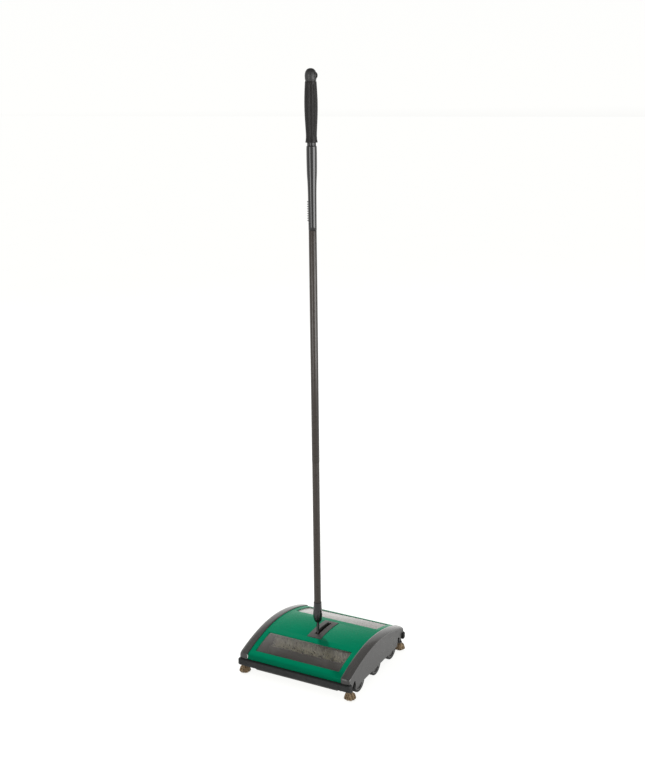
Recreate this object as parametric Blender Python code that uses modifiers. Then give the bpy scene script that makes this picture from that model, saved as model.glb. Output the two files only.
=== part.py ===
"""Carpet sweeper: a low base on six wheels that turn two brush rolls, pushed with an upright handle.

Units are metres. X is the width, +Y points to the rear and +Z is up. The origin is on the floor under
the centre of the base, and the base is the same on both sides of X = 0 and of Y = 0.
"""

import math

import bmesh
import bpy
from mathutils import Matrix, Vector

# Overall size
HEIGHT = 1.100
BASE_HALF_WIDTH = 0.1180
BASE_HALF_DEPTH = 0.1220
GAP = 0.0003                    # between pieces that touch

# Arched top of the base
ARCH_TOP = 0.0692
ARCH_DROP = 0.0229
ARCH_HALF = 0.1150
ARCH_POWER = 1.95
ARCH_STEPS = 14
FASCIA_HALF = 0.1165            # where the arch turns down at the front and at the rear
FASCIA_BOTTOM = 0.0360
FASCIA_ROUND = 0.0040
COVER_HALF = 0.0980
COVER_WALL = 0.0025

# Windows in the cover
WINDOW_HALF = 0.0877
WINDOW_NEAR = 0.0515            # the edge nearer to the middle of the base
WINDOW_FAR = 0.1043
WINDOW_FLANGE = 0.0030

# End caps, which close the two sides
CAP_PROUD = 0.0015
CAP_WALL = 0.0022
CAP_EDGES = ((0.0984, 0.0), (0.1015, 0.0), (0.1120, 0.0008), (0.1155, 0.0032))     # (x, inset)
CAP_FACE = 0.1155
CAP_FOOT = 0.0175
BOSS_FACE = 0.1123              # inner ends of the bosses that carry the axles and the brush rolls
AXLE_BOSS_RADIUS = 0.0040
ROLL_BOSS_RADIUS = 0.0050
POST_RADIUS = 0.0032
POST_TOP = 0.0480

# Wheels, whose tyres turn the pulleys at the ends of the brush rolls
WHEEL_RADIUS = 0.0220
WHEEL_SPACING = 0.0690
WHEEL_IN = 0.1020
WHEEL_OUT = 0.1120
HUB_INNER_END = 0.0915
RIM_RADIUS = 0.0170
AXLE_RADIUS = 0.0020
AXLE_HOLE = 0.0023
AXLE_TIP = 0.1134
AXLE_HEAD_RADIUS = 0.0035
AXLE_HEAD = (0.0867, 0.0882)
WHEEL_ROWS = (("front", -WHEEL_SPACING), ("middle", 0.0), ("rear", WHEEL_SPACING))

# Brush rolls
BRUSH_Y = WHEEL_SPACING / 2
BRUSH_Z = 0.0259
BRISTLE_RADIUS = 0.0255
CORE_RADIUS = 0.0090
CORE_HALF = 0.0850
SHAFT_RADIUS = 0.0040
JOURNAL_RADIUS = 0.0025
DRIVE_GAP = 0.0002
PULLEY_RADIUS = math.hypot(BRUSH_Y, BRUSH_Z - WHEEL_RADIUS) - WHEEL_RADIUS - DRIVE_GAP
BRISTLE_ROWS = 5
BRISTLE_TWIST = math.radians(150)
BRISTLE_SECTION = ((CORE_RADIUS + 0.0015, -0.42), (BRISTLE_RADIUS, -0.17), (BRISTLE_RADIUS, 0.17),
                   (CORE_RADIUS + 0.0015, 0.42))        # (radius, angle) around the middle of one row

# Chassis
WALL_IN = 0.0885
WALL_OUT = 0.0905
WALL_BOTTOM = 0.0105
WALL_END = 0.1113
BEAM_IN = 0.1090
BEAM_OUT = 0.1115
BEAM_TOP = 0.0400
ARM_BOTTOM = 0.0200
ARM_TOP = 0.0262
ARM_SPAN = (0.0870, 0.1130)
ARM_BACK = 0.1010

# Bumpers
BUMPER_BACK = BEAM_OUT + GAP
BUMPER_BOTTOM = 0.0225
BUMPER_TOP = 0.0355
BUMPER_ROUND = 0.0045

# Dust pans, which swing down on pins beside the brush rolls
PAN_PIN_Y = 0.0655
PAN_PIN_Z = 0.0142
PAN_PIN_RADIUS = 0.00125
PAN_HALF = 0.0855
PAN_WALL = 0.0015
PAN_FLOOR = 0.0140
PAN_OUTER = 0.1060
PAN_LIP_Y = 0.0575
PAN_LIP_Z = 0.0404
PAN_FOOT_Y = 0.0700
BARREL_RADIUS = 0.0028
BARREL_SPANS = ((-0.078, -0.060), (0.060, 0.078))
SPRING_SPAN = (0.034, 0.048)
SPRING_RADIUS = 0.0022
SPRING_WIRE = 0.0004
SPRING_TURNS = 4

# Corner brushes
CORNER_X = 0.1110
CORNER_Y = 0.1065
CORNER_PIN = 0.0015
CORNER_HUB_RADIUS = 0.0052
CORNER_HUB_BOTTOM = 0.0172
CORNER_FOOT = 0.0045
CORNER_SPREAD = 0.0120
PIN_HEAD_RADIUS = 0.0028
PIN_HEAD_BOTTOM = 0.0150

# Screws that hold the end caps on the chassis arms
SCREW_X = 0.1020
SCREW_HOLE = 0.0017
SCREW_PROFILE = ((0, 0.0360), (0.0014, 0.0360), (0.0014, 0.0197), (0.0028, 0.0197), (0.0028, 0.0185),
                 (0.0020, 0.0178), (0, 0.0178))

# Handle pivot
PIVOT_Y = -0.0210
PIVOT_Z = 0.0635
KNUCKLE_RADIUS = 0.0039
KNUCKLE_HALF = 0.0028
PIVOT_PIN_RADIUS = 0.0013
PLATE_HALF = 0.0145
PLATE_FRONT = -0.0375
PLATE_REAR = 0.0360
PLATE_BOTTOM = 0.0615
PLATE_PROUD = 0.0009
SLOT_HALF = 0.0042
SLOT_FRONT = -0.0255
SLOT_REAR = 0.0275
BRIDGE_BOTTOM = 0.0535
BRIDGE_TOP = 0.0553
FOOT_SPAN = (0.0090, 0.0140)    # feet that stand on the bridge and carry the plate

# Handle
STALK_RADIUS = 0.00265
STALK_TOP = 0.1150
SOCKET_BOTTOM = 0.0925
SOCKET_TOP = 0.1330
TUBE_BOTTOM = 0.1175
TUBE_WALL = 0.0009
LOWER_RADIUS = 0.0066
LOWER_TOP = 0.4100
MIDDLE_RADIUS = 0.0069
MIDDLE_TOP = 0.8300
UPPER_RADIUS = 0.0060
UPPER_TOP = 1.0700
SPIGOT_RADIUS = 0.0048
SPIGOT_LENGTH = 0.0250
SLEEVE_TOP = 0.9780
RIDGE_COUNT = 9
RIDGE_BOTTOM = 0.8460
RIDGE_PITCH = 0.0040
GRIP_BOTTOM = 0.9785
GRIP_WAIST_Z = 0.9900
GRIP_WAIST = 0.0093
GRIP_SWELL = 0.0020
GRIP_SWELL_LENGTH = 0.1000
CAP_BOTTOM = 1.0790

PARTS = "carpet_sweeper"
CUTTERS = "cutters"
SMOOTH_ANGLE = math.radians(35)
X_AXIS = (0.0, math.pi / 2, 0.0)    # turns a piece built along Z so that it lies along X
ENDS = (("front", -1), ("rear", 1))
SIDES = (("left", -1), ("right", 1))


# ---------------------------------------------------------------- scene and materials

def clear_scene():
    for old in list(bpy.data.objects):
        bpy.data.objects.remove(old, do_unlink=True)
    for old in list(bpy.data.collections):
        bpy.data.collections.remove(old)


def make_collection(name):
    collection = bpy.data.collections.new(name)
    bpy.context.scene.collection.children.link(collection)
    return collection


def make_material(name, color, roughness, metallic=0.0, alpha=1.0):
    material = bpy.data.materials.new(name)
    material.use_nodes = True
    shader = material.node_tree.nodes["Principled BSDF"]
    shader.inputs["Base Color"].default_value = (*color, 1.0)
    shader.inputs["Roughness"].default_value = roughness
    shader.inputs["Metallic"].default_value = metallic
    shader.inputs["Alpha"].default_value = alpha
    return material


def make_materials():
    return {
        "green": make_material("green_plastic", (0.003, 0.178, 0.090), 0.35),
        "trim": make_material("trim_plastic", (0.045, 0.045, 0.042), 0.45),
        "chassis": make_material("chassis_plastic", (0.018, 0.018, 0.017), 0.55),
        "bumper": make_material("bumper_rubber", (0.020, 0.022, 0.021), 0.60),
        "smoked": make_material("smoked_clear", (0.25, 0.24, 0.22), 0.10, alpha=0.35),
        "plate": make_material("plate_plastic", (0.085, 0.080, 0.075), 0.50),
        "steel": make_material("steel", (0.55, 0.55, 0.54), 0.30, metallic=1.0),
        "tube": make_material("black_enamel", (0.012, 0.011, 0.010), 0.25, metallic=0.2),
        "grip": make_material("grip_plastic", (0.022, 0.020, 0.019), 0.50),
        "tyre": make_material("tyre_rubber", (0.020, 0.020, 0.020), 0.80),
        "hub": make_material("hub_plastic", (0.075, 0.072, 0.070), 0.50),
        "pan": make_material("pan_plastic", (0.060, 0.055, 0.045), 0.50),
        "bristle": make_material("brush_bristle", (0.300, 0.270, 0.220), 0.85),
        "tuft": make_material("corner_bristle", (0.200, 0.150, 0.090), 0.85),
    }


# ---------------------------------------------------------------- building helpers

def finish_mesh(name, bm, material):
    """Turns a bmesh into a smooth-shaded object of the parts collection."""
    mesh = bpy.data.meshes.new(name)
    bm.normal_update()
    bm.to_mesh(mesh)
    bm.free()
    mesh.materials.append(material)
    mesh.shade_smooth()
    mesh.set_sharp_from_angle(angle=SMOOTH_ANGLE)
    thing = bpy.data.objects.new(name, mesh)
    bpy.data.collections[PARTS].objects.link(thing)
    return thing


def operand(name, bm):
    """Turns a bmesh into a hidden object that a Boolean uses."""
    mesh = bpy.data.meshes.new(name)
    bmesh.ops.recalc_face_normals(bm, faces=bm.faces)
    bm.to_mesh(mesh)
    bm.free()
    thing = bpy.data.objects.new(name, mesh)
    thing.hide_render = True
    thing.display_type = "WIRE"
    bpy.data.collections[CUTTERS].objects.link(thing)
    return thing


def boolean(target, bm, operation):
    name = f"{target.name}_{operation.lower()}_{len(target.modifiers)}"
    modifier = target.modifiers.new(name, "BOOLEAN")
    modifier.operation = operation
    modifier.object = operand(name, bm)


def cut(target, bm):
    boolean(target, bm, "DIFFERENCE")


def join(target, bm):
    boolean(target, bm, "UNION")


def solidify(target, thickness):
    """Thickens an open surface on the side away from its normals."""
    modifier = target.modifiers.new("wall", "SOLIDIFY")
    modifier.thickness = thickness
    modifier.offset = -1.0
    modifier.use_even_offset = True


def bevel(target, width, segments=2):
    modifier = target.modifiers.new("edges", "BEVEL")
    modifier.width = width
    modifier.segments = segments
    modifier.limit_method = "ANGLE"
    modifier.angle_limit = SMOOTH_ANGLE


def add_box(bm, low, high):
    size = [b - a for a, b in zip(low, high)]
    centre = [(a + b) / 2 for a, b in zip(low, high)]
    matrix = Matrix.Translation(centre) @ Matrix.Diagonal((*size, 1.0))
    bmesh.ops.create_cube(bm, size=1.0, matrix=matrix)


def add_cylinder(bm, axis, centre, radius, span, segments=12):
    """Adds a cylinder along X or Z; centre holds its two other coordinates and span its ends."""
    middle = sum(span) / 2
    if axis == "X":
        matrix = Matrix.Translation((middle, *centre)) @ Matrix.Rotation(math.pi / 2, 4, "Y")
    else:
        matrix = Matrix.Translation((*centre, middle))
    length = abs(span[1] - span[0])
    bmesh.ops.create_cone(bm, cap_ends=True, segments=segments, radius1=radius, radius2=radius,
                          depth=length, matrix=matrix)


def add_prism(bm, outline, axis, low, high):
    """Adds a flat outline extruded along X, where it holds (y, z), or along Z, where it holds (x, y)."""
    if axis == "X":
        points = [(low, a, b) for a, b in outline]
        offset = Vector((high - low, 0.0, 0.0))
    else:
        points = [(a, b, low) for a, b in outline]
        offset = Vector((0.0, 0.0, high - low))
    face = bm.faces.new([bm.verts.new(point) for point in points])
    top = bmesh.ops.extrude_face_region(bm, geom=[face])["geom"]
    bmesh.ops.translate(bm, vec=offset, verts=[v for v in top if isinstance(v, bmesh.types.BMVert)])
    bmesh.ops.recalc_face_normals(bm, faces=bm.faces)


def turned(name, profile, material, place, along_x=False, closed=False, steps=16):
    """Turns a profile of (radius, height) points, which runs down its outer side, top to bottom."""
    mesh = bpy.data.meshes.new(name)
    points = [(radius, 0.0, height) for radius, height in profile]
    edges = [(i, i + 1) for i in range(len(points) - 1)]
    if closed:
        edges.append((len(points) - 1, 0))
    mesh.from_pydata(points, edges, [])
    mesh.materials.append(material)
    thing = bpy.data.objects.new(name, mesh)
    bpy.data.collections[PARTS].objects.link(thing)
    thing.location = place
    if along_x:
        thing.rotation_euler = X_AXIS
    screw = thing.modifiers.new("turn", "SCREW")
    screw.axis = "Z"
    screw.angle = math.tau
    screw.steps = steps
    screw.render_steps = steps
    screw.use_merge_vertices = True
    screw.merge_threshold = 0.00001
    screw.use_smooth_shade = True
    return thing


def sided(profile, side):
    """Mirrors a profile along its axis for the left side, and keeps it running top to bottom."""
    if side > 0:
        return list(profile)
    return [(radius, -height) for radius, height in reversed(profile)]


# ---------------------------------------------------------------- outlines

def arch(y):
    """Height of the cover's top surface at a distance y from the middle."""
    return ARCH_TOP - ARCH_DROP * (abs(y) / ARCH_HALF) ** ARCH_POWER


def shell_outline(inset, bottom):
    """Outline in Y and Z from the front fascia over the arch to the rear fascia, moved inwards."""
    half = FASCIA_HALF - inset
    shoulder = half - FASCIA_ROUND
    corner = arch(half) - inset
    drop = corner - FASCIA_ROUND
    side = [(half, bottom)]
    for step in range(4):
        t = step / 3
        y = (1 - t) ** 2 * half + 2 * t * (1 - t) * half + t ** 2 * shoulder
        z = (1 - t) ** 2 * drop + 2 * t * (1 - t) * corner + t ** 2 * (arch(shoulder) - inset)
        side.append((y, z))
    front = [(-y, z) for y, z in side]
    middle = []
    for step in range(1, ARCH_STEPS):
        y = shoulder * (2 * step / ARCH_STEPS - 1)
        middle.append((y, arch(y) - inset))
    return front + middle + side[::-1]


def cap_foot_outline():
    """Lower edge of an end cap's side face, from the rear to the front, over the corner brush arms."""
    half = [(0.1105, FASCIA_BOTTOM), (0.1080, 0.0255), (0.1035, 0.0255), (0.0960, 0.0335), (0.0915, 0.0335),
            (0.0885, CAP_FOOT)]
    return half + [(-y, z) for y, z in reversed(half)]


def rounded_bar(half_length, near, far, radius, segments=4):
    """Plan outline of a bar along X with rounded outer corners, from y = near to y = far."""
    sign = 1 if far > near else -1
    corner = []
    for step in range(segments + 1):
        angle = step / segments * math.pi / 2
        corner.append((half_length - radius + radius * math.cos(angle),
                       far - sign * radius + sign * radius * math.sin(angle)))
    right = [(half_length, near)] + corner
    return right + [(-x, y) for x, y in reversed(right)]


def shaft_slot_outline(y, segments=6):
    """Slot in Y and Z, open downwards, that a brush roll's shaft drops into."""
    half = SHAFT_RADIUS + 0.0006
    angles = [math.pi * step / segments for step in range(segments + 1)]
    top = [(y + half * math.cos(angle), BRUSH_Z + half * math.sin(angle)) for angle in angles]
    return top + [(y - half, 0.0), (y + half, 0.0)]


# ---------------------------------------------------------------- base

def make_chassis(materials):
    """Two inner walls joined by beams and a bridge, with arms that hold the corner brushes."""
    half = [(-WALL_END, BUMPER_BOTTOM), (-0.1020, WALL_BOTTOM)]
    top = [(WALL_END * (1 - step / 6), arch(WALL_END * (1 - step / 6)) - 0.0046) for step in range(13)]
    outline = half + [(-y, z) for y, z in reversed(half)] + top
    bm = bmesh.new()
    add_prism(bm, outline, "X", WALL_IN, WALL_OUT)
    chassis = finish_mesh("chassis", bm, materials["chassis"])

    bm = bmesh.new()
    add_prism(bm, outline, "X", -WALL_OUT, -WALL_IN)
    join(chassis, bm)

    bm = bmesh.new()
    for _, end in ENDS:
        low, high = sorted((end * BEAM_IN, end * BEAM_OUT))
        add_box(bm, (-WALL_OUT + GAP, low, BUMPER_BOTTOM), (WALL_OUT - GAP, high, BEAM_TOP))
    add_box(bm, (-WALL_OUT + GAP, -0.0330, BRIDGE_BOTTOM), (WALL_OUT - GAP, 0.0350, BRIDGE_TOP))
    join(chassis, bm)

    bm = bmesh.new()
    for _, side in SIDES:
        low, high = sorted((side * FOOT_SPAN[0], side * FOOT_SPAN[1]))
        add_box(bm, (low, -0.0325, BRIDGE_TOP - 0.0010), (high, 0.0345, PLATE_BOTTOM - GAP))
        for _, end in ENDS:
            x_low, x_high = sorted((side * ARM_SPAN[0], side * ARM_SPAN[1]))
            y_low, y_high = sorted((end * ARM_BACK, end * (BEAM_OUT - 0.0001)))
            add_box(bm, (x_low, y_low, ARM_BOTTOM), (x_high, y_high, ARM_TOP))
    join(chassis, bm)

    bm = bmesh.new()
    for _, side in SIDES:
        for _, end in ENDS:
            corner = (side * CORNER_X, end * CORNER_Y)
            add_cylinder(bm, "Z", corner, CORNER_PIN, (CORNER_HUB_BOTTOM - 0.0010, ARM_BOTTOM + 0.0010))
    join(chassis, bm)
    bm = bmesh.new()
    for _, side in SIDES:
        for _, end in ENDS:
            corner = (side * CORNER_X, end * CORNER_Y)
            add_cylinder(bm, "Z", corner, PIN_HEAD_RADIUS, (PIN_HEAD_BOTTOM, CORNER_HUB_BOTTOM - GAP))
    join(chassis, bm)

    bm = bmesh.new()
    for _, side in SIDES:
        low, high = sorted((side * (WALL_IN - 0.001), side * (WALL_OUT + 0.001)))
        for _, y in WHEEL_ROWS:
            add_cylinder(bm, "X", (y, WHEEL_RADIUS), AXLE_HOLE, (low, high))
        for _, end in ENDS:
            add_cylinder(bm, "X", (end * PAN_PIN_Y, PAN_PIN_Z), PAN_PIN_RADIUS + GAP, (low, high), 8)
            add_prism(bm, shaft_slot_outline(end * BRUSH_Y), "X", low, high)
            hole = (side * SCREW_X, end * CORNER_Y)
            add_cylinder(bm, "Z", hole, SCREW_HOLE, (ARM_BOTTOM - 0.001, ARM_TOP + 0.001), 8)
    cut(chassis, bm)


def make_cover(materials):
    """Green top shell with two windows and an opening for the pivot plate."""
    path = shell_outline(0.0, FASCIA_BOTTOM)
    bm = bmesh.new()
    left = [bm.verts.new((-COVER_HALF, y, z)) for y, z in path]
    right = [bm.verts.new((COVER_HALF, y, z)) for y, z in path]
    for i in range(len(path) - 1):
        bm.faces.new((left[i], right[i], right[i + 1], left[i + 1]))
    cover = finish_mesh("top_cover", bm, materials["green"])
    solidify(cover, COVER_WALL)
    bm = bmesh.new()
    for _, end in ENDS:
        low, high = sorted((end * WINDOW_NEAR, end * WINDOW_FAR))
        add_box(bm, (-WINDOW_HALF, low, 0.0300), (WINDOW_HALF, high, 0.0800))
    add_box(bm, (-PLATE_HALF - GAP, PLATE_FRONT - GAP, 0.0580), (PLATE_HALF + GAP, PLATE_REAR + GAP, 0.0750))
    cut(cover, bm)


def add_arched_slab(bm, half_width, near, far, top, bottom, steps=6):
    """Adds a slab that follows the arch between y = near and y = far, at two depths under it."""
    ys = [near + (far - near) * step / steps for step in range(steps + 1)]
    upper = [(y, arch(y) - top) for y in ys]
    lower = [(y, arch(y) - bottom) for y in reversed(ys)]
    add_prism(bm, upper + lower, "X", -half_width, half_width)


def make_windows(materials):
    """Clear panes: a raised pane fills the opening, and a flange holds it under the cover."""
    for label, end in ENDS:
        bm = bmesh.new()
        add_arched_slab(bm, WINDOW_HALF + WINDOW_FLANGE, end * (WINDOW_NEAR - WINDOW_FLANGE),
                        end * (WINDOW_FAR + WINDOW_FLANGE), 0.0030, 0.0042)
        window = finish_mesh(f"window_{label}", bm, materials["smoked"])
        bm = bmesh.new()
        add_arched_slab(bm, WINDOW_HALF - GAP, end * (WINDOW_NEAR + GAP), end * (WINDOW_FAR - GAP),
                        0.0006, 0.0036)
        join(window, bm)


def make_end_caps(materials):
    """Side shells with a chamfered upper edge; bosses inside carry the axles and the brush rolls."""
    loops = [(x, shell_outline(inset - CAP_PROUD, FASCIA_BOTTOM)) for x, inset in CAP_EDGES]
    foot = cap_foot_outline()
    for label, side in SIDES:
        bm = bmesh.new()
        rows = [[bm.verts.new((side * x, y, z)) for y, z in outline] for x, outline in loops]
        faces = []
        for inner, outer in zip(rows, rows[1:]):
            for i in range(len(inner) - 1):
                faces.append(bm.faces.new((inner[i], outer[i], outer[i + 1], inner[i + 1])))
        faces.append(bm.faces.new(rows[-1] + [bm.verts.new((side * CAP_FACE, y, z)) for y, z in foot]))
        faces[-1].normal_flip()
        if side < 0:
            bmesh.ops.reverse_faces(bm, faces=faces)
        cap = finish_mesh(f"end_cap_{label}", bm, materials["trim"])
        solidify(cap, CAP_WALL)

        bm = bmesh.new()
        boss = (side * BOSS_FACE, side * (CAP_FACE - CAP_WALL / 2))
        for _, y in WHEEL_ROWS:
            add_cylinder(bm, "X", (y, WHEEL_RADIUS), AXLE_BOSS_RADIUS, boss)
        for _, end in ENDS:
            add_cylinder(bm, "X", (end * BRUSH_Y, BRUSH_Z), ROLL_BOSS_RADIUS, boss)
            post = (side * SCREW_X, end * CORNER_Y)
            add_cylinder(bm, "Z", post, POST_RADIUS, (ARM_TOP + GAP, POST_TOP))
        join(cap, bm)

        bm = bmesh.new()
        bore = (side * (BOSS_FACE - 0.0010), side * (AXLE_TIP + GAP))
        for _, y in WHEEL_ROWS:
            add_cylinder(bm, "X", (y, WHEEL_RADIUS), AXLE_HOLE, bore)
        for _, end in ENDS:
            add_cylinder(bm, "X", (end * BRUSH_Y, BRUSH_Z), JOURNAL_RADIUS + GAP, bore)
            post = (side * SCREW_X, end * CORNER_Y)
            add_cylinder(bm, "Z", post, SCREW_HOLE, (ARM_TOP - 0.0010, POST_TOP - 0.0100), 8)
        cut(cap, bm)


def make_bumpers(materials):
    """Soft strips with rounded ends across the front and the rear."""
    for label, end in ENDS:
        outline = rounded_bar(BASE_HALF_WIDTH, end * BUMPER_BACK, end * BASE_HALF_DEPTH, BUMPER_ROUND)
        bm = bmesh.new()
        add_prism(bm, outline, "Z", BUMPER_BOTTOM, BUMPER_TOP)
        bumper = finish_mesh(f"bumper_{label}", bm, materials["bumper"])
        bevel(bumper, 0.0015)


def make_pivot(materials):
    """Slotted plate that stands a little proud of the cover, and the pin that the handle turns on."""
    ys = [PLATE_FRONT + (PLATE_REAR - PLATE_FRONT) * step / 8 for step in range(9)]
    outline = [(y, arch(y) + PLATE_PROUD) for y in ys]
    outline += [(PLATE_REAR, PLATE_BOTTOM), (PLATE_FRONT, PLATE_BOTTOM)]
    bm = bmesh.new()
    add_prism(bm, outline, "X", -PLATE_HALF, PLATE_HALF)
    plate = finish_mesh("pivot_plate", bm, materials["plate"])
    bm = bmesh.new()
    add_box(bm, (-SLOT_HALF, SLOT_FRONT, 0.0600), (SLOT_HALF, SLOT_REAR, 0.0750))
    cut(plate, bm)
    bm = bmesh.new()
    groove = PIVOT_PIN_RADIUS + GAP
    add_box(bm, (-0.0118, PIVOT_Y - groove, 0.0600), (0.0118, PIVOT_Y + groove, PIVOT_Z + groove))
    cut(plate, bm)

    half = 0.0115
    turned("pivot_pin", [(0, half), (PIVOT_PIN_RADIUS, half), (PIVOT_PIN_RADIUS, -half), (0, -half)],
           materials["steel"], (0, PIVOT_Y, PIVOT_Z), along_x=True, steps=12)


def make_axles(materials):
    """Six stub axles with heads inside the chassis walls."""
    inner, outer = AXLE_HEAD
    profile = [(0, AXLE_TIP), (AXLE_RADIUS, AXLE_TIP), (AXLE_RADIUS, outer), (AXLE_HEAD_RADIUS, outer),
               (AXLE_HEAD_RADIUS, inner), (0, inner)]
    for row, y in WHEEL_ROWS:
        for label, side in SIDES:
            turned(f"axle_{row}_{label}", sided(profile, side), materials["steel"],
                   (0, y, WHEEL_RADIUS), along_x=True, steps=12)


def make_screws(materials):
    """Four screws that fasten the end caps to the chassis arms from below."""
    for end_label, end in ENDS:
        for side_label, side in SIDES:
            turned(f"screw_{end_label}_{side_label}", SCREW_PROFILE, materials["steel"],
                   (side * SCREW_X, end * CORNER_Y, 0), steps=10)


# ---------------------------------------------------------------- wheels and brushes

def make_wheels(materials):
    """Six wheels, each a dished hub with a rubber tyre."""
    rim = RIM_RADIUS - GAP
    hub = [(rim, WHEEL_OUT - 0.0005), (rim, WHEEL_IN + 0.0005), (rim - 0.0030, WHEEL_IN + 0.0005),
           (rim - 0.0035, WHEEL_IN + 0.0040), (0.0048, HUB_INNER_END), (AXLE_HOLE, HUB_INNER_END),
           (AXLE_HOLE, WHEEL_OUT), (0.0048, WHEEL_OUT), (0.0060, WHEEL_OUT - 0.0025),
           (rim - 0.0030, WHEEL_OUT - 0.0005)]
    tyre = [(RIM_RADIUS, WHEEL_OUT), (WHEEL_RADIUS - 0.0012, WHEEL_OUT), (WHEEL_RADIUS, WHEEL_OUT - 0.0015),
            (WHEEL_RADIUS, WHEEL_IN + 0.0015), (WHEEL_RADIUS - 0.0012, WHEEL_IN), (RIM_RADIUS, WHEEL_IN)]
    for row, y in WHEEL_ROWS:
        for label, side in SIDES:
            place = (0, y, WHEEL_RADIUS)
            turned(f"wheel_hub_{row}_{label}", sided(hub, side), materials["hub"], place,
                   along_x=True, closed=True)
            turned(f"wheel_tyre_{row}_{label}", sided(tyre, side), materials["tyre"], place,
                   along_x=True, closed=True, steps=24)


def make_brush_rolls(materials):
    """Two rolls: a core with drive pulleys at its ends, and twisted rows of bristle around it."""
    half = [(0, AXLE_TIP), (JOURNAL_RADIUS, AXLE_TIP), (JOURNAL_RADIUS, WHEEL_OUT - GAP),
            (PULLEY_RADIUS, WHEEL_OUT - GAP), (PULLEY_RADIUS, WHEEL_IN), (SHAFT_RADIUS, WHEEL_IN),
            (SHAFT_RADIUS, CORE_HALF), (CORE_RADIUS, CORE_HALF)]
    profile = half + [(radius, -x) for radius, x in reversed(half)]
    for label, end in ENDS:
        place = (0, end * BRUSH_Y, BRUSH_Z)
        turned(f"brush_core_{label}", profile, materials["chassis"], place, along_x=True)
        make_bristles(f"brush_bristles_{label}", place, end, materials["bristle"])


def make_bristles(name, place, hand, material):
    """Rows of bristle that wind around the core, on a thin backing sleeve."""
    reach = CORE_HALF - 0.0010
    rings = 9
    bm = bmesh.new()
    rows = []
    for ring in range(rings + 1):
        x = -reach + 2 * reach * ring / rings
        twist = hand * BRISTLE_TWIST * ring / rings
        loop = []
        for row in range(BRISTLE_ROWS):
            start = math.tau * row / BRISTLE_ROWS + twist
            for radius, turn in BRISTLE_SECTION:
                angle = start + turn
                loop.append(bm.verts.new((x, radius * math.cos(angle), radius * math.sin(angle))))
        rows.append(loop)
    count = len(rows[0])
    for low, high in zip(rows, rows[1:]):
        for i in range(count):
            j = (i + 1) % count
            bm.faces.new((low[i], low[j], high[j], high[i]))
    bm.faces.new(rows[0])
    bm.faces.new(rows[-1])
    bmesh.ops.recalc_face_normals(bm, faces=bm.faces)
    bristles = finish_mesh(name, bm, material)
    bristles.location = place
    bm = bmesh.new()
    add_cylinder(bm, "X", place[1:], CORE_RADIUS + GAP, (-CORE_HALF, CORE_HALF), 16)
    cut(bristles, bm)


def make_corner_brushes(materials):
    """Four small round brushes that turn on pins under the corners of the base."""
    hub = [(CORNER_HUB_RADIUS, ARM_BOTTOM - GAP), (CORNER_HUB_RADIUS, CORNER_HUB_BOTTOM),
           (CORNER_PIN + GAP, CORNER_HUB_BOTTOM), (CORNER_PIN + GAP, ARM_BOTTOM - GAP)]
    top = CORNER_HUB_BOTTOM - GAP
    skirt = [(CORNER_HUB_RADIUS, top), (0.0068, 0.0110), (CORNER_SPREAD, CORNER_FOOT),
             (CORNER_SPREAD - 0.0045, CORNER_FOOT), (0.0034, 0.0110), (0.0032, top)]
    for end_label, end in ENDS:
        for side_label, side in SIDES:
            place = (side * CORNER_X, end * CORNER_Y, 0)
            label = f"{end_label}_{side_label}"
            turned(f"corner_hub_{label}", hub, materials["hub"], place, closed=True, steps=12)
            turned(f"corner_bristles_{label}", skirt, materials["tuft"], place, closed=True, steps=12)


# ---------------------------------------------------------------- dust pans

def make_dust_pans(materials):
    """Two pans with a lip beside the brush roll, hinged on steel pins and held shut by springs."""
    path = [(PAN_OUTER + 0.0015, PAN_FLOOR + 0.0025), (PAN_OUTER, PAN_FLOOR),
            (PAN_FOOT_Y + 0.0020, PAN_FLOOR), (PAN_LIP_Y + 0.0014, PAN_LIP_Z)]
    cheek = [(PAN_OUTER - 0.0010, PAN_FLOOR - 0.0010), (PAN_OUTER - 0.0010, 0.0200), (PAN_PIN_Y, 0.0290),
             (PAN_FOOT_Y + 0.0010, PAN_FLOOR - 0.0010)]
    for label, end in ENDS:
        bm = bmesh.new()
        left = [bm.verts.new((-PAN_HALF, end * y, z)) for y, z in path]
        right = [bm.verts.new((PAN_HALF, end * y, z)) for y, z in path]
        faces = [bm.faces.new((left[i], right[i], right[i + 1], left[i + 1])) for i in range(len(path) - 1)]
        if end > 0:
            bmesh.ops.reverse_faces(bm, faces=faces)
        pan = finish_mesh(f"dust_pan_{label}", bm, materials["pan"])
        solidify(pan, PAN_WALL)

        bm = bmesh.new()
        for _, side in SIDES:
            low, high = sorted((side * (PAN_HALF - PAN_WALL), side * (PAN_HALF - 0.0001)))
            add_prism(bm, [(end * y, z) for y, z in cheek], "X", low, high)
        for low, high in BARREL_SPANS:
            y_low, y_high = sorted((end * (PAN_FOOT_Y + 0.0010), end * PAN_PIN_Y))
            add_box(bm, (low + 0.002, y_low, PAN_FLOOR - 0.0013), (high - 0.002, y_high, PAN_PIN_Z + 0.0016))
        join(pan, bm)
        bm = bmesh.new()
        for span in BARREL_SPANS:
            add_cylinder(bm, "X", (end * PAN_PIN_Y, PAN_PIN_Z), BARREL_RADIUS, span)
        join(pan, bm)
        bm = bmesh.new()
        for low, high in BARREL_SPANS:
            hole = (low - 0.001, high + 0.001)
            add_cylinder(bm, "X", (end * PAN_PIN_Y, PAN_PIN_Z), PAN_PIN_RADIUS + GAP, hole, 8)
        cut(pan, bm)

        reach = WALL_OUT - 0.0002
        pin = [(0, reach), (PAN_PIN_RADIUS, reach), (PAN_PIN_RADIUS, -reach), (0, -reach)]
        turned(f"pan_pin_{label}", pin, materials["steel"], (0, end * PAN_PIN_Y, PAN_PIN_Z), along_x=True,
               steps=10)
        make_spring(f"pan_spring_{label}", (0, end * PAN_PIN_Y, PAN_PIN_Z), materials["steel"])


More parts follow.
